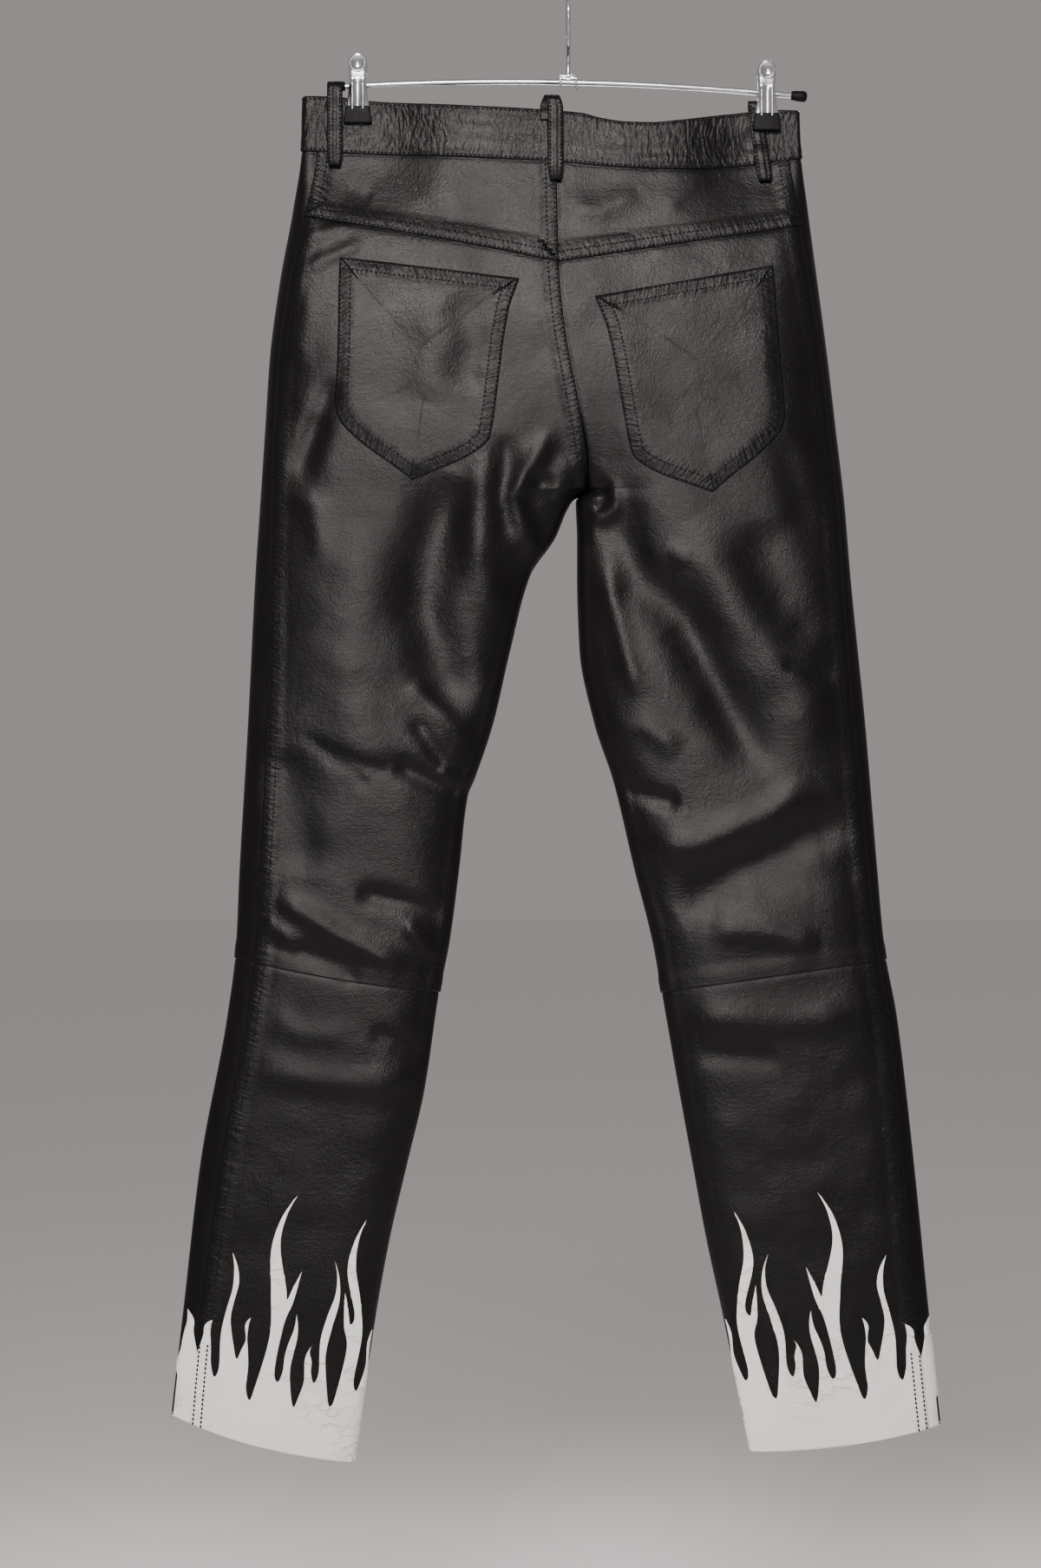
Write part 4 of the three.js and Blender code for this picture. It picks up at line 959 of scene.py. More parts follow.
def dress_panels(side, made):
    """Laps each panel over its neighbours at the seams and marks the stitched edges."""
    laps_left = side == "left"
    for panel in made.values():
        top = panel.far["top"]
        panel.far["top"] = top - top[1:2]
    if not laps_left:
        for name in ("yoke", "back"):
            reset_far(made[name], "first", 1)
    for name in ("front", "front_lower"):
        reset_far(made[name], "first", 1)
        reset_far(made[name], "last", -2)
    seat = above_crotch(made["back"].z)
    seat_front = above_crotch(made["front"].z)
    yoke, back, lower = made["yoke"], made["back"], made["back_lower"]
    front, front_lower = made["front"], made["front_lower"]
    for panel in (yoke, back, lower):
        panel.raise_edge("last")
    if laps_left:
        yoke.raise_edge("first")
        back.raise_edge("first")
        front.raise_edge("last", seat_front)
    else:
        yoke.sink_edge("first")
        back.sink_edge("first", seat)
        back.raise_edge("first", 1 - seat)
        front.sink_edge("last", seat_front)
    lower.raise_edge("first", 0.6)
    yoke.raise_edge("bottom")
    back.raise_edge("bottom", 0.8)
    front.raise_edge("bottom", 0.8)
    for panel in made.values():
        panel.sink_edge("top")
    for panel in (front, front_lower):
        panel.sink_edge("first")
        panel.sink_edge("last", 1 - above_crotch(panel.z))
    centre = [("first", 1.0)] if laps_left else []
    yoke.mark_seams([("bottom", 1.0), ("last", 1.0)] + centre)
    back.mark_seams([("last", 1.0)] + ([("first", seat)] if laps_left else []))
    lower.mark_seams([("last", 1.0)])


PANELS = {side: make_panels(side) for side in SIDES}
for side in SIDES:
    dress_panels(side, PANELS[side])
    for name, panel in PANELS[side].items():
        stands_for = f"{name}_{side}"
        mesh = grid_mesh(f"{stands_for}_leather", panel.dressed(), panel.seam, panel.run, SIGN[side] > 0)
        thicken(new_piece(mesh, LEATHER_LOOK, (stands_for,)), LEATHER)


# Waistband, with a stitch row below its top edge and one above its bottom edge
BAND_ROW_TOP, BAND_ROW_BOTTOM = 2.4, 2.0
BAND_OVER = BAND_PROUD + BAND_THICKNESS + LAID_ON


def top_edge_z(layer, x):
    if layer == "back":
        return band_top_z(x)
    middle = centre_x["front"](0.0)
    reach = np.where(x < middle, outer_x["left"](0.0) - middle, outer_x["right"](0.0) - middle)
    return band_top_z(x) - FRONT_RISE_DROP * (1 - np.clip((x - middle) / reach, 0, 1))


def make_waistband(side):
    line = LINES[side]["waist"]
    back_at = back_columns(BAND_BACK_COLUMNS)
    rest_at = front_columns(BAND_SIDE_COLUMNS, BAND_FRONT_COLUMNS)
    back_count = len(spread(BAND_BACK_COLUMNS))

    def columns(seam, z):
        count = 1 if seam.shape[1] == 1 else back_count
        first = back_at(part(seam, 0, count), part(z, 0, count))
        return np.concatenate([first, rest_at(part(seam, count - 1), part(z, count - 1))[:, 1:]], 1)

    def foot(row):
        return crossing(side, [row], columns)
    (around, z_back), (_, z_front) = foot(line), foot(turned_front(line))
    front = around > 1
    z_foot = np.where(front, z_front, z_back)[0]
    around = around[0]
    x = surface(side, around, z_foot)[:, 0]
    top = np.where(around > 1, top_edge_z("front", x), top_edge_z("back", x))
    down = spread(BAND_ROWS)[:, None]
    z = top[None, :] + (z_foot - top)[None, :] * down
    around = np.broadcast_to(around, z.shape)
    points, normals = surface(side, around, z), outward(side, around, z)
    lift = np.full(z.shape, BAND_PROUD)
    if side == "left":
        middle = centre_x["front"](-120.0)
        near = np.where(around > 1, middle - points[..., 0], 99.0)
        lift += (BAND_OVER - BAND_PROUD) * (1 - smoothstep(0.3, 4.5, near))
        reach = spread(TAB_COLUMNS)[1:] * TAB_LENGTH
        tab_z = np.broadcast_to(z[:, -1:], (len(z), len(reach)))
        tab_points, tab_normals = on_layer("front", middle + reach[None, :], tab_z)
        points = np.concatenate([points, tab_points], 1)
        normals = np.concatenate([normals, tab_normals], 1)
        lift = np.concatenate([lift, np.full(tab_z.shape, BAND_OVER)], 1)
    across, depth = along_axis(points, 1), along_axis(points, 0)
    below = depth[-1:] - depth
    lift -= rounded_off(depth, 0.9, 1.6)
    lift += 0.55 * (1 - smoothstep(7, 14, below)) - rounded_off(below, 0.6, 1.0)
    # The doubled band bows a little between its edges, and its two halves meet in a double ridge.
    bow = np.sin(math.pi * np.clip(depth / depth[-1:], 0, 1))
    soft = np.sin(across * 0.045 + 1.0) * np.sin(depth * 0.11 + across * 0.013)
    away = 1 - clip_pinch(points[..., 0], points[..., 2])
    lift += (0.5 * bow + 0.35 * soft) * away
    if side == "left":
        for place in (2.6, 5.2):
            lift += 0.8 * np.exp(-((across - place) / 0.8) ** 2)
        lift -= rounded_off(across[:, -1:] - across, 0.9, 1.4)
    for width, rise, start, end in BAND_FOLDS:
        _, gone = beside_line(points[..., 0], points[..., 2], start, end)
        lift += rise * np.exp(-(gone / width) ** 2) * (points[..., 1] < 0)
    seam = np.minimum(depth, below)
    dressed = points + normals * lift[..., None]
    mesh = grid_mesh(f"waistband_{side}_leather", dressed, seam, across, SIGN[side] > 0)
    thicken(new_piece(mesh, BAND_LOOK, (f"waistband_{side}",)), BAND_LEATHER)
    turned, facing = dressed.swapaxes(0, 1), normals.swapaxes(0, 1)
    return (line_at(BAND_ROW_TOP, depth.T, turned, facing),
            line_at(BAND_ROW_BOTTOM, below.T[:, ::-1], turned[:, ::-1], facing[:, ::-1]))


# Creases of the band on the seat's side: width, height, start and end.
BAND_FOLDS = (
    (4.5, -0.5, (-154, -102), (-134, -104)), (5.5, -0.6, (-84, -108), (-20, -111)),
    (6.0, 0.6, (30, -128), (96, -124)), (6.0, 0.6, (-146, -118), (-118, -132)),
    (5.0, 0.5, (60, -141), (120, -139)), (5.5, -0.6, (120, -112), (146, -128)),
    (7.0, 0.5, (-120, -104), (-60, -120)), (7.0, 0.5, (100, -126), (150, -112)),
)
BAND_SEAMS = {side: make_waistband(side) for side in SIDES}


# Pockets
POCKET_OUTLINE = (
    (0, 0), (3, 31), (8, 77), (11, 115), (16, 131), (27, 141.5), (43, 152), (60, 161), (80.5, 173), (95, 165),
    (109.5, 157), (124, 148), (136.5, 136), (140, 123), (140.5, 76), (140.5, 48), (142, 24), (145, 9),
    (147, 0),
)
POCKET_CORNER = {"left": (-186, -222, 7), "right": (166, -229, 10)}
POCKET_THICKNESS = 1.4


def pocket_curve(step):
    """The pocket's outline with its lower corners rounded, closed along the top edge."""
    sharp = {0, 8, len(POCKET_OUTLINE) - 1}
    marked = [(a, b, i in sharp) for i, (a, b) in enumerate(POCKET_OUTLINE)]
    path = smooth_path(marked, step)
    top = [np.array([a, 0.0]) for a in np.arange(147 - step, step * 0.5, -step)]
    return path + top


def pocket_place(side, pattern):
    x, z, turn = POCKET_CORNER[side]
    angle = math.radians(turn)
    along, down = pattern[:, 0], pattern[:, 1]
    inwards = along * math.cos(angle) - down * math.sin(angle)
    return x - SIGN[side] * inwards, z - along * math.sin(angle) - down * math.cos(angle)


def pocket_lift(pattern, far, run):
    """Height of the pocket's face over the panel, with its folded hem, rounded edge and pleats."""
    lift = LAID_ON + POCKET_THICKNESS - rounded_off(far, 0.45, 1.0)
    lift = lift + 0.9 * smoothstep(2.0, 12.0, far) - 0.9 * smoothstep(10.0, 42.0, far) * 0.4
    lift += 0.5 * (1 - smoothstep(10.5, 13.0, pattern[:, 1]))
    wave = np.sin(run * 1.35 + 1.2 * np.sin(run * 0.31) + far * 0.4)
    lift += 0.16 * wave * smoothstep(1.2, 3.5, far) * (1 - smoothstep(8.0, 14.0, far))
    return lift


def inset_curve(curve, distance):
    """A closed curve moved inwards."""
    points = np.array(curve)
    ahead, behind = np.roll(points, -1, axis=0), np.roll(points, 1, axis=0)
    direction = unit(ahead - behind)
    normal = np.stack([-direction[:, 1], direction[:, 0]], -1)
    middle = points.mean(axis=0)
    turn = np.sign(np.sum(normal * (middle - points)))
    return points + normal * distance * turn


def make_pocket(side):
    outline = pocket_curve(5.0)
    bm = patch([(a, -b) for a, b in outline], 1.9, (0.4, 0.5, 0.9))
    mesh = mesh_from(bm, f"pocket_{side}_leather")
    flat = np.array([v.co[:] for v in mesh.vertices])
    pattern = np.stack([flat[:, 0], -flat[:, 2]], -1)
    far, run = distance_to(outline, pattern)
    lift = pocket_lift(pattern, far, run)
    points, normals = on_layer("back", *pocket_place(side, pattern))
    lay(mesh, points + normals * lift[:, None], FACING["back"])
    set_attribute(mesh, "seam", far)
    set_attribute(mesh, "run", run)
    thicken(new_piece(mesh, POCKET_LOOK, (f"pocket_{side}",)), POCKET_THICKNESS)

    def sewn(curve):
        away, along = distance_to(outline, curve)
        place, facing = on_layer("back", *pocket_place(side, curve))
        return place + facing * pocket_lift(curve, away, along)[:, None], facing
    rows = []
    for distance, below in ((1.6, 1.2), (9.6, 9.6)):
        curve = inset_curve(pocket_curve(1.5), distance)
        rows.append(sewn(curve[curve[:, 1] > below]))
    for down in (1.5, 9.5):
        along = np.arange(2.0, 145.0, 1.5)
        along = along[(along > 1.5 + down * 0.1) & (along < 145.5 - down * 0.4)]
        rows.append(sewn(np.stack([along, np.full(len(along), down)], -1)))
    return rows


POCKET_SEAMS = {side: make_pocket(side) for side in SIDES}


# Fly flap on the front, finished plainly
FLY_WIDTH, FLY_TOP, FLY_CURVE, FLY_BOTTOM = 36.0, -153.0, -270.0, -318.0
FLY_THICKNESS = 1.2
FLY_FACE = LAID_ON + FLY_THICKNESS + 0.5


def make_fly():
    edge = lambda z: centre_x["front"](z) - 0.4
    outline = [(edge(z), z) for z in np.linspace(FLY_BOTTOM, FLY_TOP, 30)]
    for i in range(1, 13):
        outline.append((edge(FLY_TOP) - FLY_WIDTH * i / 12, FLY_TOP))
    for z in np.linspace(FLY_TOP, FLY_CURVE, 20)[1:]:
        outline.append((edge(z) - FLY_WIDTH, z))
    for i in range(1, 12):
        turn = i / 12 * math.pi / 2
        z = FLY_CURVE + (FLY_BOTTOM - FLY_CURVE) * math.sin(turn)
        outline.append((edge(z) - FLY_WIDTH * math.cos(turn), z))
    outline = [(float(x), float(z)) for x, z in outline]
    mesh = mesh_from(patch(outline, 3.2, (0.4, 0.6)), "fly_leather")
    flat = np.array([v.co[:] for v in mesh.vertices])
    places = flat[:, [0, 2]]
    far, run = distance_to(outline, places)
    lift = FLY_FACE - rounded_off(far, 0.4, CORNER_WIDTH)
    points, normals = on_layer("front", places[:, 0], places[:, 1])
    lay(mesh, points + normals * lift[:, None], FACING["front"])
    set_attribute(mesh, "seam", far)
    set_attribute(mesh, "run", run)
    thicken(new_piece(mesh, LEATHER_LOOK, ("fly",)), FLY_THICKNESS)
    rows = []
    for distance in (28.0, 33.5):
        z = np.linspace(FLY_TOP - 2, FLY_CURVE, 60)
        turn = np.linspace(0, math.pi / 2 * 0.93, 30)[1:]
        scale = distance / FLY_WIDTH
        curve_z = FLY_CURVE + (FLY_BOTTOM - FLY_CURVE) * np.sin(turn) * scale
        x = np.concatenate([edge(z) - distance, edge(curve_z) - distance * np.cos(turn)])
        place, facing = on_layer("front", x, np.concatenate([z, curve_z]))
        rows.append((place + facing * FLY_FACE, facing))
    return rows


FLY_SEAMS = make_fly()


# White flames round each hem, a plain row of licks from the side seam to the inseam. Each line gives a lick's
# tip place and height, its sway, the side its curl is on (0 for none), and the place and height of the gap
# after it.
LICKS = (
    (9, 88, 1.5, 0, 14, 44), (17, 146, -4, 0, 29, 64), (36, 100, 2, 0, 40.5, 35), (55, 206, 8, 1, 60, 55),
    (68, 112, -2, 0, 73.5, 38), (82, 90, 2, 0, 86, 60), (89, 160, -5, 0, 100, 43),
    (105, 196, 7, -1, 118, 58), (124, 108, 1.5, 0, 127, 33),
)
GAP_HALF, GAP_DEPTH, STRIP_END = 2.7, 9.0, 57.0
CLIMB = (0.0, 0.28, 0.5, 0.7, 0.87)
# A curl's places out from the lick's side and up from its root.
CURL = ((1.5, -13, 0), (5.8, 6, 0), (8.6, 32, 1), (4.2, 17, 0), (1.4, 7, 0), (-0.6, 16, 0))
CURL_ROOT = 0.36
FLAME_SPAN = 127.0
FLAME_LIFT = 0.5
# How far the stitches of the side seam rise where they cross the white leather.
STITCH_RISE = FLAME_LIFT + 0.55


def lick_side(lick, left, right, low, side, up):
    """A place up one side of a lick, which sways and narrows to its tip."""
    tip, height, sway = lick[:3]
    middle, half = (left + right) / 2, (right - left) / 2
    x = middle + (tip - middle) * up * up + sway * math.sin(2 * math.pi * up) * (0.4 + 0.6 * up)
    width = half * (1 - up) ** 0.7 * (0.95 - 0.2 * math.sin(math.pi * min(up * 1.6, 1)))
    return x + side * width, low * (1 - up) + height * up


def flame_edge():
    """The licks' edge as places along the hem and heights above it, with a mark at each sharp point."""
    edge = [(0.0, STRIP_END, 1)]
    left, left_low = 0.0, STRIP_END
    for lick in LICKS:
        tip, height, _, curl, gap, gap_low = lick
        last = lick is LICKS[-1]
        right = gap if last else gap - GAP_HALF
        for side, low in ((-1, left_low), (1, gap_low)):
            climb = [(*lick_side(lick, left, right, low + GAP_DEPTH, side, up), 0) for up in CLIMB]
            if curl == side:
                x, z = lick_side(lick, left, right, low + GAP_DEPTH, side, CURL_ROOT)
                claw = [(x + side * out, z + rise, sharp) for out, rise, sharp in CURL]
                climb = climb[:1] + claw + climb[3:]
            if side < 0:
                edge += climb if left else climb[1:]
                edge.append((tip, height, 1))
            else:
                edge += climb[:0:-1] if last else climb[::-1]
        if not last:
            edge.append((gap, gap_low, 0))
        left, left_low = gap + GAP_HALF, gap_low
    return edge + [(FLAME_SPAN, LICKS[-1][5], 1)]


def flame_map(side, layer):
    """Around and height for pattern places (share from the side seam, height above the hem)."""
    z = np.full(400, -1120.0)
    seam = side_seam_around(side, z[:1])[0]
    target = 0.0 if layer == "back" else 2.0
    around = np.linspace(seam, target, 400)
    reach = along_axis(surface(side, around, z), 0)
    reach = reach / reach[-1]
    line = LINES[side]["hem"]

    def to_place(share, height):
        reference = np.interp(np.clip(share, 0, 1), reach, around)
        at = reference
        for _ in range(3):
            seam_here = side_seam_around(side, seam_z(line, share_out(at)) + height)
            at = seam_here + (reference - seam) * (target - seam_here) / (target - seam)
        return at, seam_z(line, share_out(at)) + height
    return to_place


def make_flames(side, layer):
    edge = smooth_path(flame_edge(), 2.0)
    fall = [np.array([FLAME_SPAN, v]) for v in np.arange(28, 0, -4)]
    base = [np.array([a, 0.15]) for a in np.linspace(FLAME_SPAN, 0.0, 33)]
    rise = [np.array([0.0, v]) for v in np.arange(4, 55, 4)]
    outline = [(float(a), float(b)) for a, b in edge + fall + base + rise]
    name = f"flames_{layer}_{side}"
    mesh = mesh_from(patch(outline, 4.2), name)
    flat = np.array([v.co[:] for v in mesh.vertices])
    around, z = flame_map(side, layer)(flat[:, 0] / FLAME_SPAN, flat[:, 2])
    panel = PANELS[side]["back_lower" if layer == "back" else "front_lower"]
    lift = FLAME_LIFT + panel_lift_at(panel, around, z)
    points = surface_past(side, around, z) + outward(side, around, z) * lift[:, None]
    lay(mesh, points, FACING[layer])
    piece = new_piece(mesh, WHITE_LOOK)
    thicken(piece, FLAME_LEATHER)
    return piece


def panel_lift_at(panel, around, z):
    """Lift of a panel's dressed edges, found at the nearest row and column."""
    row = np.argmin(abs(panel.z[:, panel.z.shape[1] // 2][:, None] - z[None, :]), axis=0)
    across = panel.around[row]
    lift = np.zeros(len(z))
    for i in range(len(z)):
        step = 1 if across[i][0] < across[i][-1] else -1
        lift[i] = np.interp(around[i], across[i][::step], panel.lift[row[i]][::step])
    return lift


FLAMES = {(side, layer): make_flames(side, layer) for side in SIDES for layer in ("back", "front")}


# Belt loops: a ribbon along a side view of out from the surface and up from the band's top edge.
# Each loop's layer, place across, lean, whether a clip presses it, and how far its tucked top end stands
# aside.
LOOPS = {
    "belt_loop_back_left": ("back", -190.5, 0, False, 0),
    "belt_loop_back_centre": ("back", -10.5, 0, False, -6.5),
    "belt_loop_back_right": ("back", 159, -6, True, 0),
    "belt_loop_front_left": ("front", -98, 0, False, 0),
    "belt_loop_front_right": ("front", 92, 0, False, 0),
}
LOOP_PATH = (
    (1.25, -8), (1.25, -3), (2.5, 2), (3.2, 7), (5.2, 10.3), (7.4, 7.6), (8, 2), (8, -14), (7.6, -38),
    (6.8, -50), (4.6, -57.2), (1.9, -56.5), (1.25, -50), (1.25, -45),
)
PRESSED_LOOP_PATH = (
    (-1.2, 1.6), (-1, 4.5), (0.3, 7.6), (2, 6.8), (2.5, 3.4), (1.6, 0.2), (1.25, -2.5), (1.25, -18),
    (2.6, -26), (4.4, -36), (5.2, -48), (4.0, -57.2), (1.9, -56.5), (1.25, -50), (1.25, -45),
)
LOOP_WIDTH, LOOP_THICKNESS, LOOP_CORNER = 12.0, 1.8, 0.45
FRONT_LOOP_ARCH = 0.2
LOOP_PITCH = 3.0


def catmull(points, count):
    """Evenly spaced points of a centripetal curve."""
    points = np.array(points, float)
    padded = np.vstack([2 * points[0] - points[1], points, 2 * points[-1] - points[-2]])
    dense = []
    for i in range(1, len(padded) - 2):
        p = padded[i - 1:i + 3]
        t = np.concatenate([[0], np.cumsum(np.sqrt(np.linalg.norm(np.diff(p, axis=0), axis=1)))])
        for u in np.linspace(t[1], t[2], 24, endpoint=False):
            a = [(t[k + 1] - u) / (t[k + 1] - t[k]) * p[k] + (u - t[k]) / (t[k + 1] - t[k]) * p[k + 1]
                 for k in range(3)]
            b = [(t[k + 2] - u) / (t[k + 2] - t[k]) * a[k] + (u - t[k]) / (t[k + 2] - t[k]) * a[k + 1]
                 for k in range(2)]
            dense.append((t[2] - u) / (t[2] - t[1]) * b[0] + (u - t[1]) / (t[2] - t[1]) * b[1])
    dense = np.array(dense + [points[-1]])
    reach = along_axis(dense, 0)
    at = np.linspace(0, reach[-1], count)
    return np.stack([np.interp(at, reach, dense[:, k]) for k in range(dense.shape[1])], -1)


def make_loop(name):
    layer, x, lean, pressed, rear_shift = LOOPS[name]
    facing = FACING[layer]
    arch = FRONT_LOOP_ARCH if layer == "front" else 1.0
    side_view = PRESSED_LOOP_PATH if pressed else LOOP_PATH
    path = catmull([(out, up * arch if up > 0 else up) for out, up in side_view], 90)
    foot = path[-1, 1]
    top_z = top_edge_z(layer, np.array(x + lean))
    side_steps = np.linspace(-1, 1, 15)
    share = np.linspace(0, 1, len(path))
    middle = x + lean * (1 - np.minimum(path[:, 1], 0) / foot)
    middle = middle + rear_shift * (1 - smoothstep(0.08, 0.3, share))
    under = np.minimum(top_z + path[:, 1], top_z - 2)
    stand, _ = on_layer(layer, middle, under)
    stand = abs(stand[:, 1]) + BAND_PROUD
    half = LOOP_WIDTH / 2 - 1.9 * smoothstep(0.75, 0.89, share)
    ridge = 0.35 * (1 - side_steps ** 2) + 0.12 * np.cos(side_steps * math.pi * 2.6)
    tangent = unit(np.gradient(path, axis=0))
    rows = []
    for i, (out, up) in enumerate(path):
        across = middle[i] + facing * side_steps * half[i]
        push = ridge + 0.2 * math.sin(i * 0.37 + x)
        outwards = out + push * -tangent[i, 1] * (1 if tangent[i, 1] < 0 else -1)
        height = up + push * abs(tangent[i, 0]) * 0.6
        depth = stand[i] + outwards
        rows.append(np.stack([across, facing * depth, top_z + np.broadcast_to(height, across.shape)], -1))
    points = np.array(rows)
    seam = np.broadcast_to((1 - abs(side_steps)) * LOOP_WIDTH / 2, points.shape[:2])
    run = np.broadcast_to(along_axis(path, 0)[:, None], points.shape[:2])
    mesh = grid_mesh(f"{name}_leather", points, seam.copy(), run.copy(), False)
    if facing * mesh.polygons[len(mesh.polygons) // 2].normal.y < 0:
        mesh.flip_normals()
    piece = new_piece(mesh, LOOP_LOOK, (name,))
    thicken(piece, LOOP_THICKNESS, 0.0)
    bevel = piece.modifiers.new("Rounded edges", "BEVEL")
    bevel.width, bevel.segments = LOOP_CORNER * MM, 2
    bevel.limit_method, bevel.angle_limit = "ANGLE", math.radians(60)
    normals = unit(np.cross(np.gradient(points, axis=1), np.gradient(points, axis=0)))
    # A point in the middle of the outer face tells which way the normals point.
    normals = normals * np.sign(normals[60, 7, 1] * facing)
    lines = []
    for column in (2, 12):
        line, away = points[8:, column], normals[8:, column]
        lines.append(stitch_frames(line + away * LOOP_THICKNESS / 2, away, pitch=LOOP_PITCH))
    return lines


LOOP_SEAMS = [line for name in LOOPS for line in make_loop(name)]


# Sewn rows
def panel_rows(side):
    made = PANELS[side]
    rows = []
    tidy = lambda line, keep=None: stitch_frames(*line, keep)
    for name in ("yoke", "back", "back_lower"):
        for distance in (ROW_NEAR, ROW_FAR):
            rows.append(tidy(made[name].edge_row("last", distance)))
    for distance in (1.8, 8.0):
        rows.append(tidy(made["yoke"].edge_row("bottom", distance)))
    if side == "left":
        for name in ("yoke", "back"):
            for distance in (ROW_NEAR, ROW_FAR):
                rows.append(tidy(made[name].edge_row("first", distance), lambda p: p[:, 2] > -398))
    return rows


def over_white(side, rows):
    """Stitches of the side seam, raised where they cross the white leather."""
    near_edge, white_top = 40, 60
    outer_end = LINES[side]["hem"][1]
    raised = []
    for place, direction, normal in rows:
        beside = abs(place[:, 0] - outer_x[side](place[:, 2])) < near_edge
        low = place[:, 2] - outer_end < white_top
        lift = np.where(beside & low, STITCH_RISE, 0.0)
        raised.append((place + unit(normal) * lift[:, None], direction, normal))
    return raised


for side in SIDES:
    sew(f"seam_stitches_{side}", over_white(side, panel_rows(side)))
    sew(f"pocket_stitches_{side}", [stitch_frames(*row) for row in POCKET_SEAMS[side]])
    sew(f"waistband_stitches_{side}", [stitch_frames(*row) for row in BAND_SEAMS[side]])
sew("fly_stitches", [stitch_frames(*row) for row in FLY_SEAMS])
sew("belt_loop_stitches", LOOP_SEAMS)


# Hanger
BAR_MIDDLE_Z, BAR_TILT, BAR_BOW, BAR_HALF = -76.0, -4.0, -8.0, 195.0
# The right clip stands off the seat's side by the belt loop that it presses.
PRESSED_LOOP = 2.35
PAD_THICKNESS, PLATE_THICKNESS, CLIP_SPREAD = 2.4, 1.0, 3.4
PLATE_SHEET = 0.8
# Heights from the bar. The head is round above HEAD_Z.
CLIP_TOP, CLIP_BOTTOM, HEAD_RADIUS = 24.5, -32.0, 7.6
HEAD_Z = CLIP_TOP - HEAD_RADIUS
CLIP_HALF = np.array([
    (-32, 10.2), (-24, 10.0), (-16, 9.2), (-8, 7.8), (0, 7.0), (8, 7.1), (HEAD_Z, 7.6),
], float)
clip_half = through(CLIP_HALF, 0, 1)


def bar_z(x):
    share = x / BAR_HALF
    return BAR_MIDDLE_Z + BAR_TILT * share + BAR_BOW * share * share


def wire(name, paths, radius, look, stands_for=()):
    """Round wire along one or more lists of points."""
    curve = bpy.data.curves.new(name, "CURVE")
    curve.dimensions = "3D"
    curve.bevel_depth = radius * MM
    curve.bevel_resolution = 5
    curve.use_fill_caps = True
    for path in paths:
        spline = curve.splines.new("POLY")
        spline.points.add(len(path) - 1)
        for point, place in zip(spline.points, path):
            point.co = (*[value * MM for value in place], 1)
        spline.use_smooth = True
    new_piece(curve, look, stands_for)


def clip_face(side, facing):
    pressed = PRESSED_LOOP if side == "right" and facing < 0 else 0.0
    return CLIP_HALF_DEPTH + BAND_PROUD + LAID_ON + PAD_THICKNESS + LAID_ON + pressed


def clip_plate(side, facing):
    """Pressed metal plate with a dished thumb rest at its head and two flutes down its neck."""
    x_middle = CLIP_X[side]
    outer = clip_face(side, facing) + PLATE_THICKNESS
    heights = np.concatenate([np.linspace(CLIP_BOTTOM + 1, HEAD_Z, 84),
                              HEAD_Z + HEAD_RADIUS * np.sin(np.linspace(0, math.pi / 2 * 0.975, 22)[1:])])
    across = np.sin(np.linspace(-math.pi / 2, math.pi / 2, 49))
    head_half = np.sqrt(np.maximum(HEAD_RADIUS ** 2 - (heights - HEAD_Z) ** 2, 0.05))
    half = np.where(heights > HEAD_Z, head_half, clip_half(heights))
    x = half[:, None] * across[None, :]
    z = np.broadcast_to(heights[:, None], x.shape)
    depth = outer + CLIP_SPREAD * np.clip((z - 2) / (CLIP_TOP - 1), 0, 1) ** 1.4
    radius = np.hypot(x, z - HEAD_Z)
    depth = depth - 1.7 * np.clip(1 - (radius / 5.6) ** 2, 0, 1) + 0.4 * np.exp(-((radius - 6.1) / 0.6) ** 2)
    flute = smoothstep(-25, -17, z) * (1 - smoothstep(0, 6, z))
    spine = np.exp(-((abs(x) - 4.3) / 1.3) ** 2)
    depth = depth + flute * (1.1 * spine - 0.7 * np.exp(-(x / 2.2) ** 2))
    depth = depth - 1.0 * abs(across[None, :]) ** 8 * smoothstep(CLIP_BOTTOM, CLIP_BOTTOM + 8, z)
    points = np.stack([x_middle + x, facing * depth, bar_z(x_middle) + z], -1)
    name = f"clip_{side}_plate_{'back' if facing < 0 else 'front'}"
    mesh = grid_mesh(name + "_pressed", points, np.zeros(x.shape), np.zeros(x.shape), False)
    if facing * mesh.polygons[len(mesh.polygons) // 2].normal.y < 0:
        mesh.flip_normals()
    thicken(new_piece(mesh, CHROME_LOOK, (name,)), PLATE_SHEET)


def clip_boot(side, facing):
    """Rubber boot over the plate's foot."""
    name = f"clip_{side}_pad_{'back' if facing < 0 else 'front'}"
    inner = clip_face(side, facing) - LAID_ON - PAD_THICKNESS
    depth = PAD_THICKNESS + LAID_ON + PLATE_THICKNESS + 1.0
    bm = bmesh.new()
    bmesh.ops.create_cube(bm, size=1)
    bmesh.ops.scale(bm, vec=(23.4, depth, 14.4), verts=bm.verts[:])
    top = [v for v in bm.verts if v.co.z > 0]
    bmesh.ops.scale(bm, vec=(0.83, 0.86, 1), verts=top)
    bmesh.ops.bevel(bm, geom=bm.edges[:], offset=1.3, segments=4, profile=0.5, affect="EDGES", material=-1)
    middle = Vector((CLIP_X[side], facing * (inner + depth / 2), bar_z(CLIP_X[side]) + CLIP_BOTTOM + 7.2))
    bmesh.ops.translate(bm, vec=middle, verts=bm.verts[:])
    bmesh.ops.scale(bm, vec=(MM, MM, MM), verts=bm.verts[:])
    new_piece(mesh_from(bm, name + "_boot"), RUBBER_LOOK, (name,))


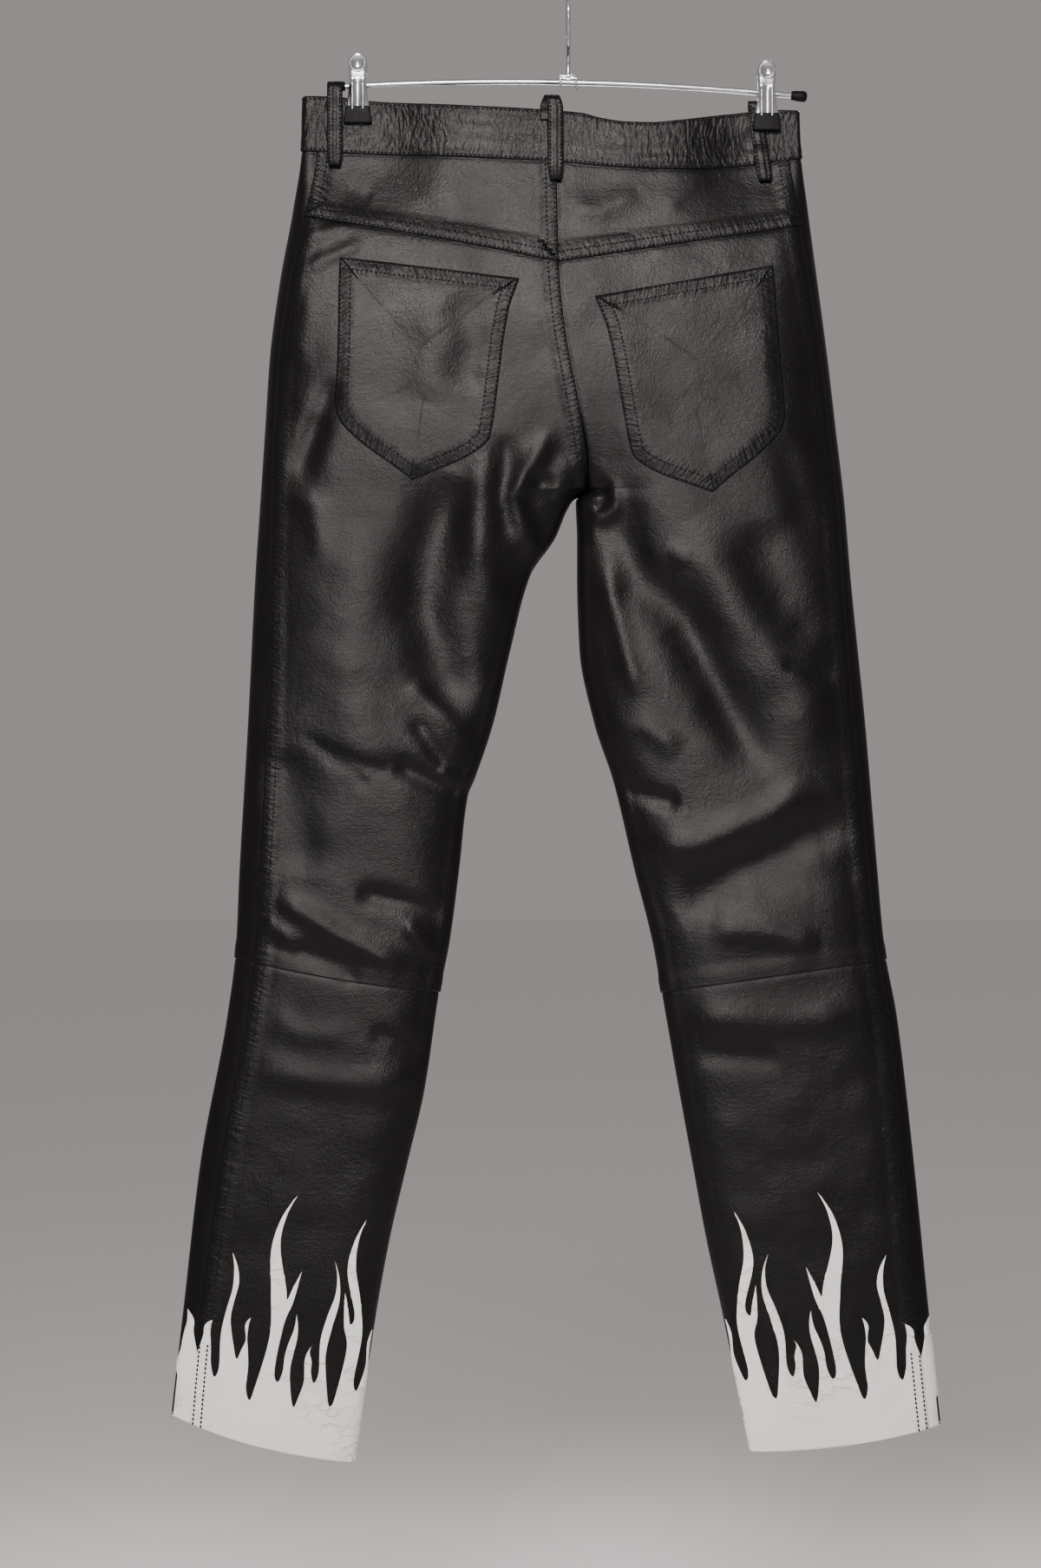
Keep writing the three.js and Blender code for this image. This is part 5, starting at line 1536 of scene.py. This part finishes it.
def clip_coil(side):
    """Spring wound round the bar between the plates, with an arm up each plate."""
    x_middle = CLIP_X[side]
    radius, half, turns, arm, steps = 4.9, 4.6, 5.5, 9.0, 20
    path = [(x_middle - half, radius, bar_z(x_middle) + arm)]
    for i in range(int(turns * steps) + 1):
        turn = i / steps * math.tau
        x = x_middle - half + 2 * half * i / (turns * steps)
        path.append((x, radius * math.cos(turn), bar_z(x) + radius * math.sin(turn)))
    path.append((x_middle + half, -radius, bar_z(x_middle) + arm))
    wire(f"clip_{side}_coil", [path], 0.75, CHROME_LOOK, (f"clip_{side}_spring",))


def turned_profile(name, profile, steps, place):
    """A profile of radius and height spun round +Z, then carried to its place by a matrix."""
    bm = bmesh.new()
    points = [bm.verts.new((radius, 0, height)) for radius, height in profile]
    edges = [bm.edges.new(pair) for pair in zip(points, points[1:])]
    bmesh.ops.spin(bm, geom=points + edges, cent=(0, 0, 0), axis=(0, 0, 1), angle=math.tau, steps=steps,
                   use_merge=True)
    bmesh.ops.remove_doubles(bm, verts=bm.verts[:], dist=1e-4)
    bmesh.ops.recalc_face_normals(bm, faces=bm.faces[:])
    bmesh.ops.transform(bm, matrix=Matrix.Scale(MM, 4) @ place, verts=bm.verts[:])
    return mesh_from(bm, name)


def bar_cap(side):
    sign = SIGN[side]
    profile = ((0, 9.4), (2.75, 9.4), (2.75, 0.3), (3.0, 0), (3.5, 0), (3.75, 0.5), (4.15, 3.5), (4.45, 6.0),
               (4.6, 8.6), (4.45, 10.6), (3.9, 12.0), (2.8, 12.8), (1.4, 13.1), (0, 13.15))
    start = sign * (BAR_HALF - 12.6)
    slope = (bar_z(sign * BAR_HALF) - bar_z(start)) / (sign * BAR_HALF - start)
    place = (Matrix.Translation((start, 0, bar_z(start))) @ Matrix.Rotation(-math.atan(slope), 4, "Y")
             @ Matrix.Rotation(sign * math.pi / 2, 4, "Y"))
    mesh = turned_profile(f"bar_cap_{side}_cup", profile, 36, place)
    new_piece(mesh, RUBBER_LOOK, (f"bar_cap_{side}",))


def hanger_bar():
    reach = np.linspace(-(BAR_HALF - 4), BAR_HALF - 4, 90)
    path = [(x, 0, bar_z(x)) for x in reach]
    wire("hanger_bar_rod", [path], 2.4, CHROME_LOOK, ("hanger_bar",))


HOOK_WIRE, HOOK_INSIDE, STEM_BOTTOM = 1.8, 22.5, -73.1


def hanger_hook():
    round_to = HOOK_INSIDE + HOOK_WIRE
    points = [(0, 0, STEM_BOTTOM), (0, 0, -68), (0, 0, -62), (0, -4, -55), (0, -14, -46.5)]
    for degrees in (-38, -20, 0, 22, 45, 68, 90, 112, 135, 158, 180):
        angle = math.radians(degrees)
        points.append((0, -round_to * math.cos(angle), -HOOK_INSIDE + round_to * math.sin(angle)))
    points.append((0, round_to + 0.6, -34))
    path = catmull(points, 140)
    wire("hanger_hook_wire", [path], HOOK_WIRE, CHROME_LOOK, ("hanger_hook",))


def hanger_bracket():
    """Small plate on the hook's foot, its rivet, and two pairs of prongs bent over the bar."""
    plate_z = bar_z(0) + 3.9
    bm = bmesh.new()
    bmesh.ops.create_cube(bm, size=1)
    bmesh.ops.scale(bm, vec=(14.4, 8.4, 1.2), verts=bm.verts[:])
    bmesh.ops.bevel(bm, geom=bm.edges[:], offset=0.4, segments=3, profile=0.5, affect="EDGES", material=-1)
    bmesh.ops.translate(bm, vec=(0, 0, plate_z + 0.6), verts=bm.verts[:])
    bmesh.ops.scale(bm, vec=(MM, MM, MM), verts=bm.verts[:])
    new_piece(mesh_from(bm, "bracket_plate"), CHROME_LOOK, ("hanger_bracket",))
    profile = ((1.9, 0.0), (3.1, 0.0), (3.3, 0.3), (3.2, 1.1), (2.6, 1.6), (1.9, 1.7))
    rivet = turned_profile("bracket_rivet", profile, 24, Matrix.Translation((0, 0, plate_z + 1.2)))
    new_piece(rivet, CHROME_LOOK)
    paths = []
    for sign in (-1, 1):
        for facing in (-1, 1):
            points = [(sign * 5.6, facing * 2.0, plate_z + 0.8), (sign * 6.3, facing * 3.6, plate_z),
                      (sign * 6.4, facing * 3.9, plate_z - 2.2), (sign * 6.4, facing * 3.7, plate_z - 5.2),
                      (sign * 6.8, facing * 2.9, plate_z - 8.0), (sign * 7.8, facing * 2.3, plate_z - 10.2)]
            paths.append(catmull(points, 24))
    wire("bracket_prongs", paths, 0.8, CHROME_LOOK)


def front_button():
    low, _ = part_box("button")
    profile = ((0, 0), (3, 0), (3, 1.1), (7.6, 1.1), (8.2, 1.5), (8.5, 2.1), (8.3, 2.9), (7.6, 3.5),
               (6.6, 3.7), (5.8, 3.2), (4.6, 3.0), (0, 2.8))
    place = Matrix.Translation((13, low[1] / MM, -128)) @ Matrix.Rotation(-math.pi / 2, 4, "X")
    new_piece(turned_profile("button_cap", profile, 40, place), BUTTON_LOOK, ("button",))


for side in SIDES:
    for facing in (-1, 1):
        clip_plate(side, facing)
        clip_boot(side, facing)
    clip_coil(side)
    bar_cap(side)
hanger_bar()
hanger_hook()
hanger_bracket()
front_button()


# Each sheet's flat width, length and area in metres, of what shows.
CUTS = {
    "waistband_left": (0.455, 0.045, 0.0182), "waistband_right": (0.41, 0.042, 0.0158),
    "yoke_left": (0.218, 0.084, 0.0146), "yoke_right": (0.21, 0.085, 0.0140),
    "back_left": (0.27, 0.62, 0.126), "back_right": (0.24, 0.62, 0.126),
    "front_left": (0.29, 0.68, 0.155), "front_right": (0.26, 0.68, 0.150),
    "back_lower_left": (0.175, 0.39, 0.0600), "back_lower_right": (0.185, 0.385, 0.0620),
    "front_lower_left": (0.2, 0.39, 0.0720), "front_lower_right": (0.21, 0.385, 0.0740),
    "pocket_left": (0.147, 0.173, 0.0215), "pocket_right": (0.147, 0.173, 0.0215),
    "belt_loop_back_left": (0.012, 0.113, 0.00135), "belt_loop_back_centre": (0.012, 0.113, 0.00135),
    "belt_loop_back_right": (0.012, 0.098, 0.00117), "belt_loop_front_left": (0.012, 0.096, 0.00115),
    "belt_loop_front_right": (0.012, 0.096, 0.00115), "fly": (0.036, 0.165, 0.0056),
}
for name, (width, length, area) in CUTS.items():
    layer, side = ("back" if "back" in name else "front"), name.rsplit("_", 1)[-1]


# Studio
CAMERA_DISTANCE = 3.0
camera = bpy.data.objects.new("camera", bpy.data.cameras.new("camera"))
bpy.context.scene.collection.objects.link(camera)
camera.data.sensor_width = 36
camera.data.lens = 84.2
camera.location = (-0.039, -CAMERA_DISTANCE, -0.650)
camera.rotation_euler = (math.pi / 2, 0, 0)
bpy.context.scene.camera = camera


def pale_floor():
    """Plain pale floor below the hems, as bright as the even surround."""
    floor_z, half = -1.5, 20.0
    bm = bmesh.new()
    place = Matrix.Translation((0, 0, floor_z))
    bmesh.ops.create_grid(bm, x_segments=1, y_segments=1, size=half, matrix=place)
    mesh = mesh_from(bm, "floor")
    mesh.materials.append(material("pale_floor", (0.93, 0.93, 0.93), 0.9, 0.0, 0.0)[0])
    floor = bpy.data.objects.new("floor", mesh)
    bpy.context.scene.collection.objects.link(floor)


def area_light(name, place, target, size, power, colour=(1.0, 0.95, 0.92), spread=80, shines=True):
    light = bpy.data.lights.new(name, "AREA")
    light.shape = "RECTANGLE"
    light.size, light.size_y = size
    light.energy = power
    light.spread = math.radians(spread)
    light.color = colour
    made = bpy.data.objects.new(name, light)
    made.location = place
    made.rotation_euler = (Vector(target) - Vector(place)).to_track_quat("-Z", "Y").to_euler()
    made.visible_glossy = shines
    made.visible_camera = False
    bpy.context.scene.collection.objects.link(made)


def light_side(facing):
    """Two keys and a matt fill on the seat's side (-1) or the fly's side (1)."""
    area_light("key_high", (0.25 * facing, 2.5 * facing, 0.75), (-0.04, 0, -0.3), (0.75, 0.4), 11)
    area_light("key_low", (0.2 * facing, 2.6 * facing, -0.5), (0, 0, -0.58), (0.6, 0.4), 1.25, spread=36)
    area_light("fill", (1.3 * facing, 2.2 * facing, 0.5), (-0.04, 0, -0.7), (0.8, 0.8), 10, shines=False)


pale_floor()
for facing in FACING.values():
    light_side(facing)
world = bpy.data.worlds.new("studio")
world.use_nodes = True
world.node_tree.nodes["Background"].inputs["Color"].default_value = (0.3, 0.283, 0.277, 1)
world.node_tree.nodes["Background"].inputs["Strength"].default_value = 1.0
bpy.context.scene.world = world
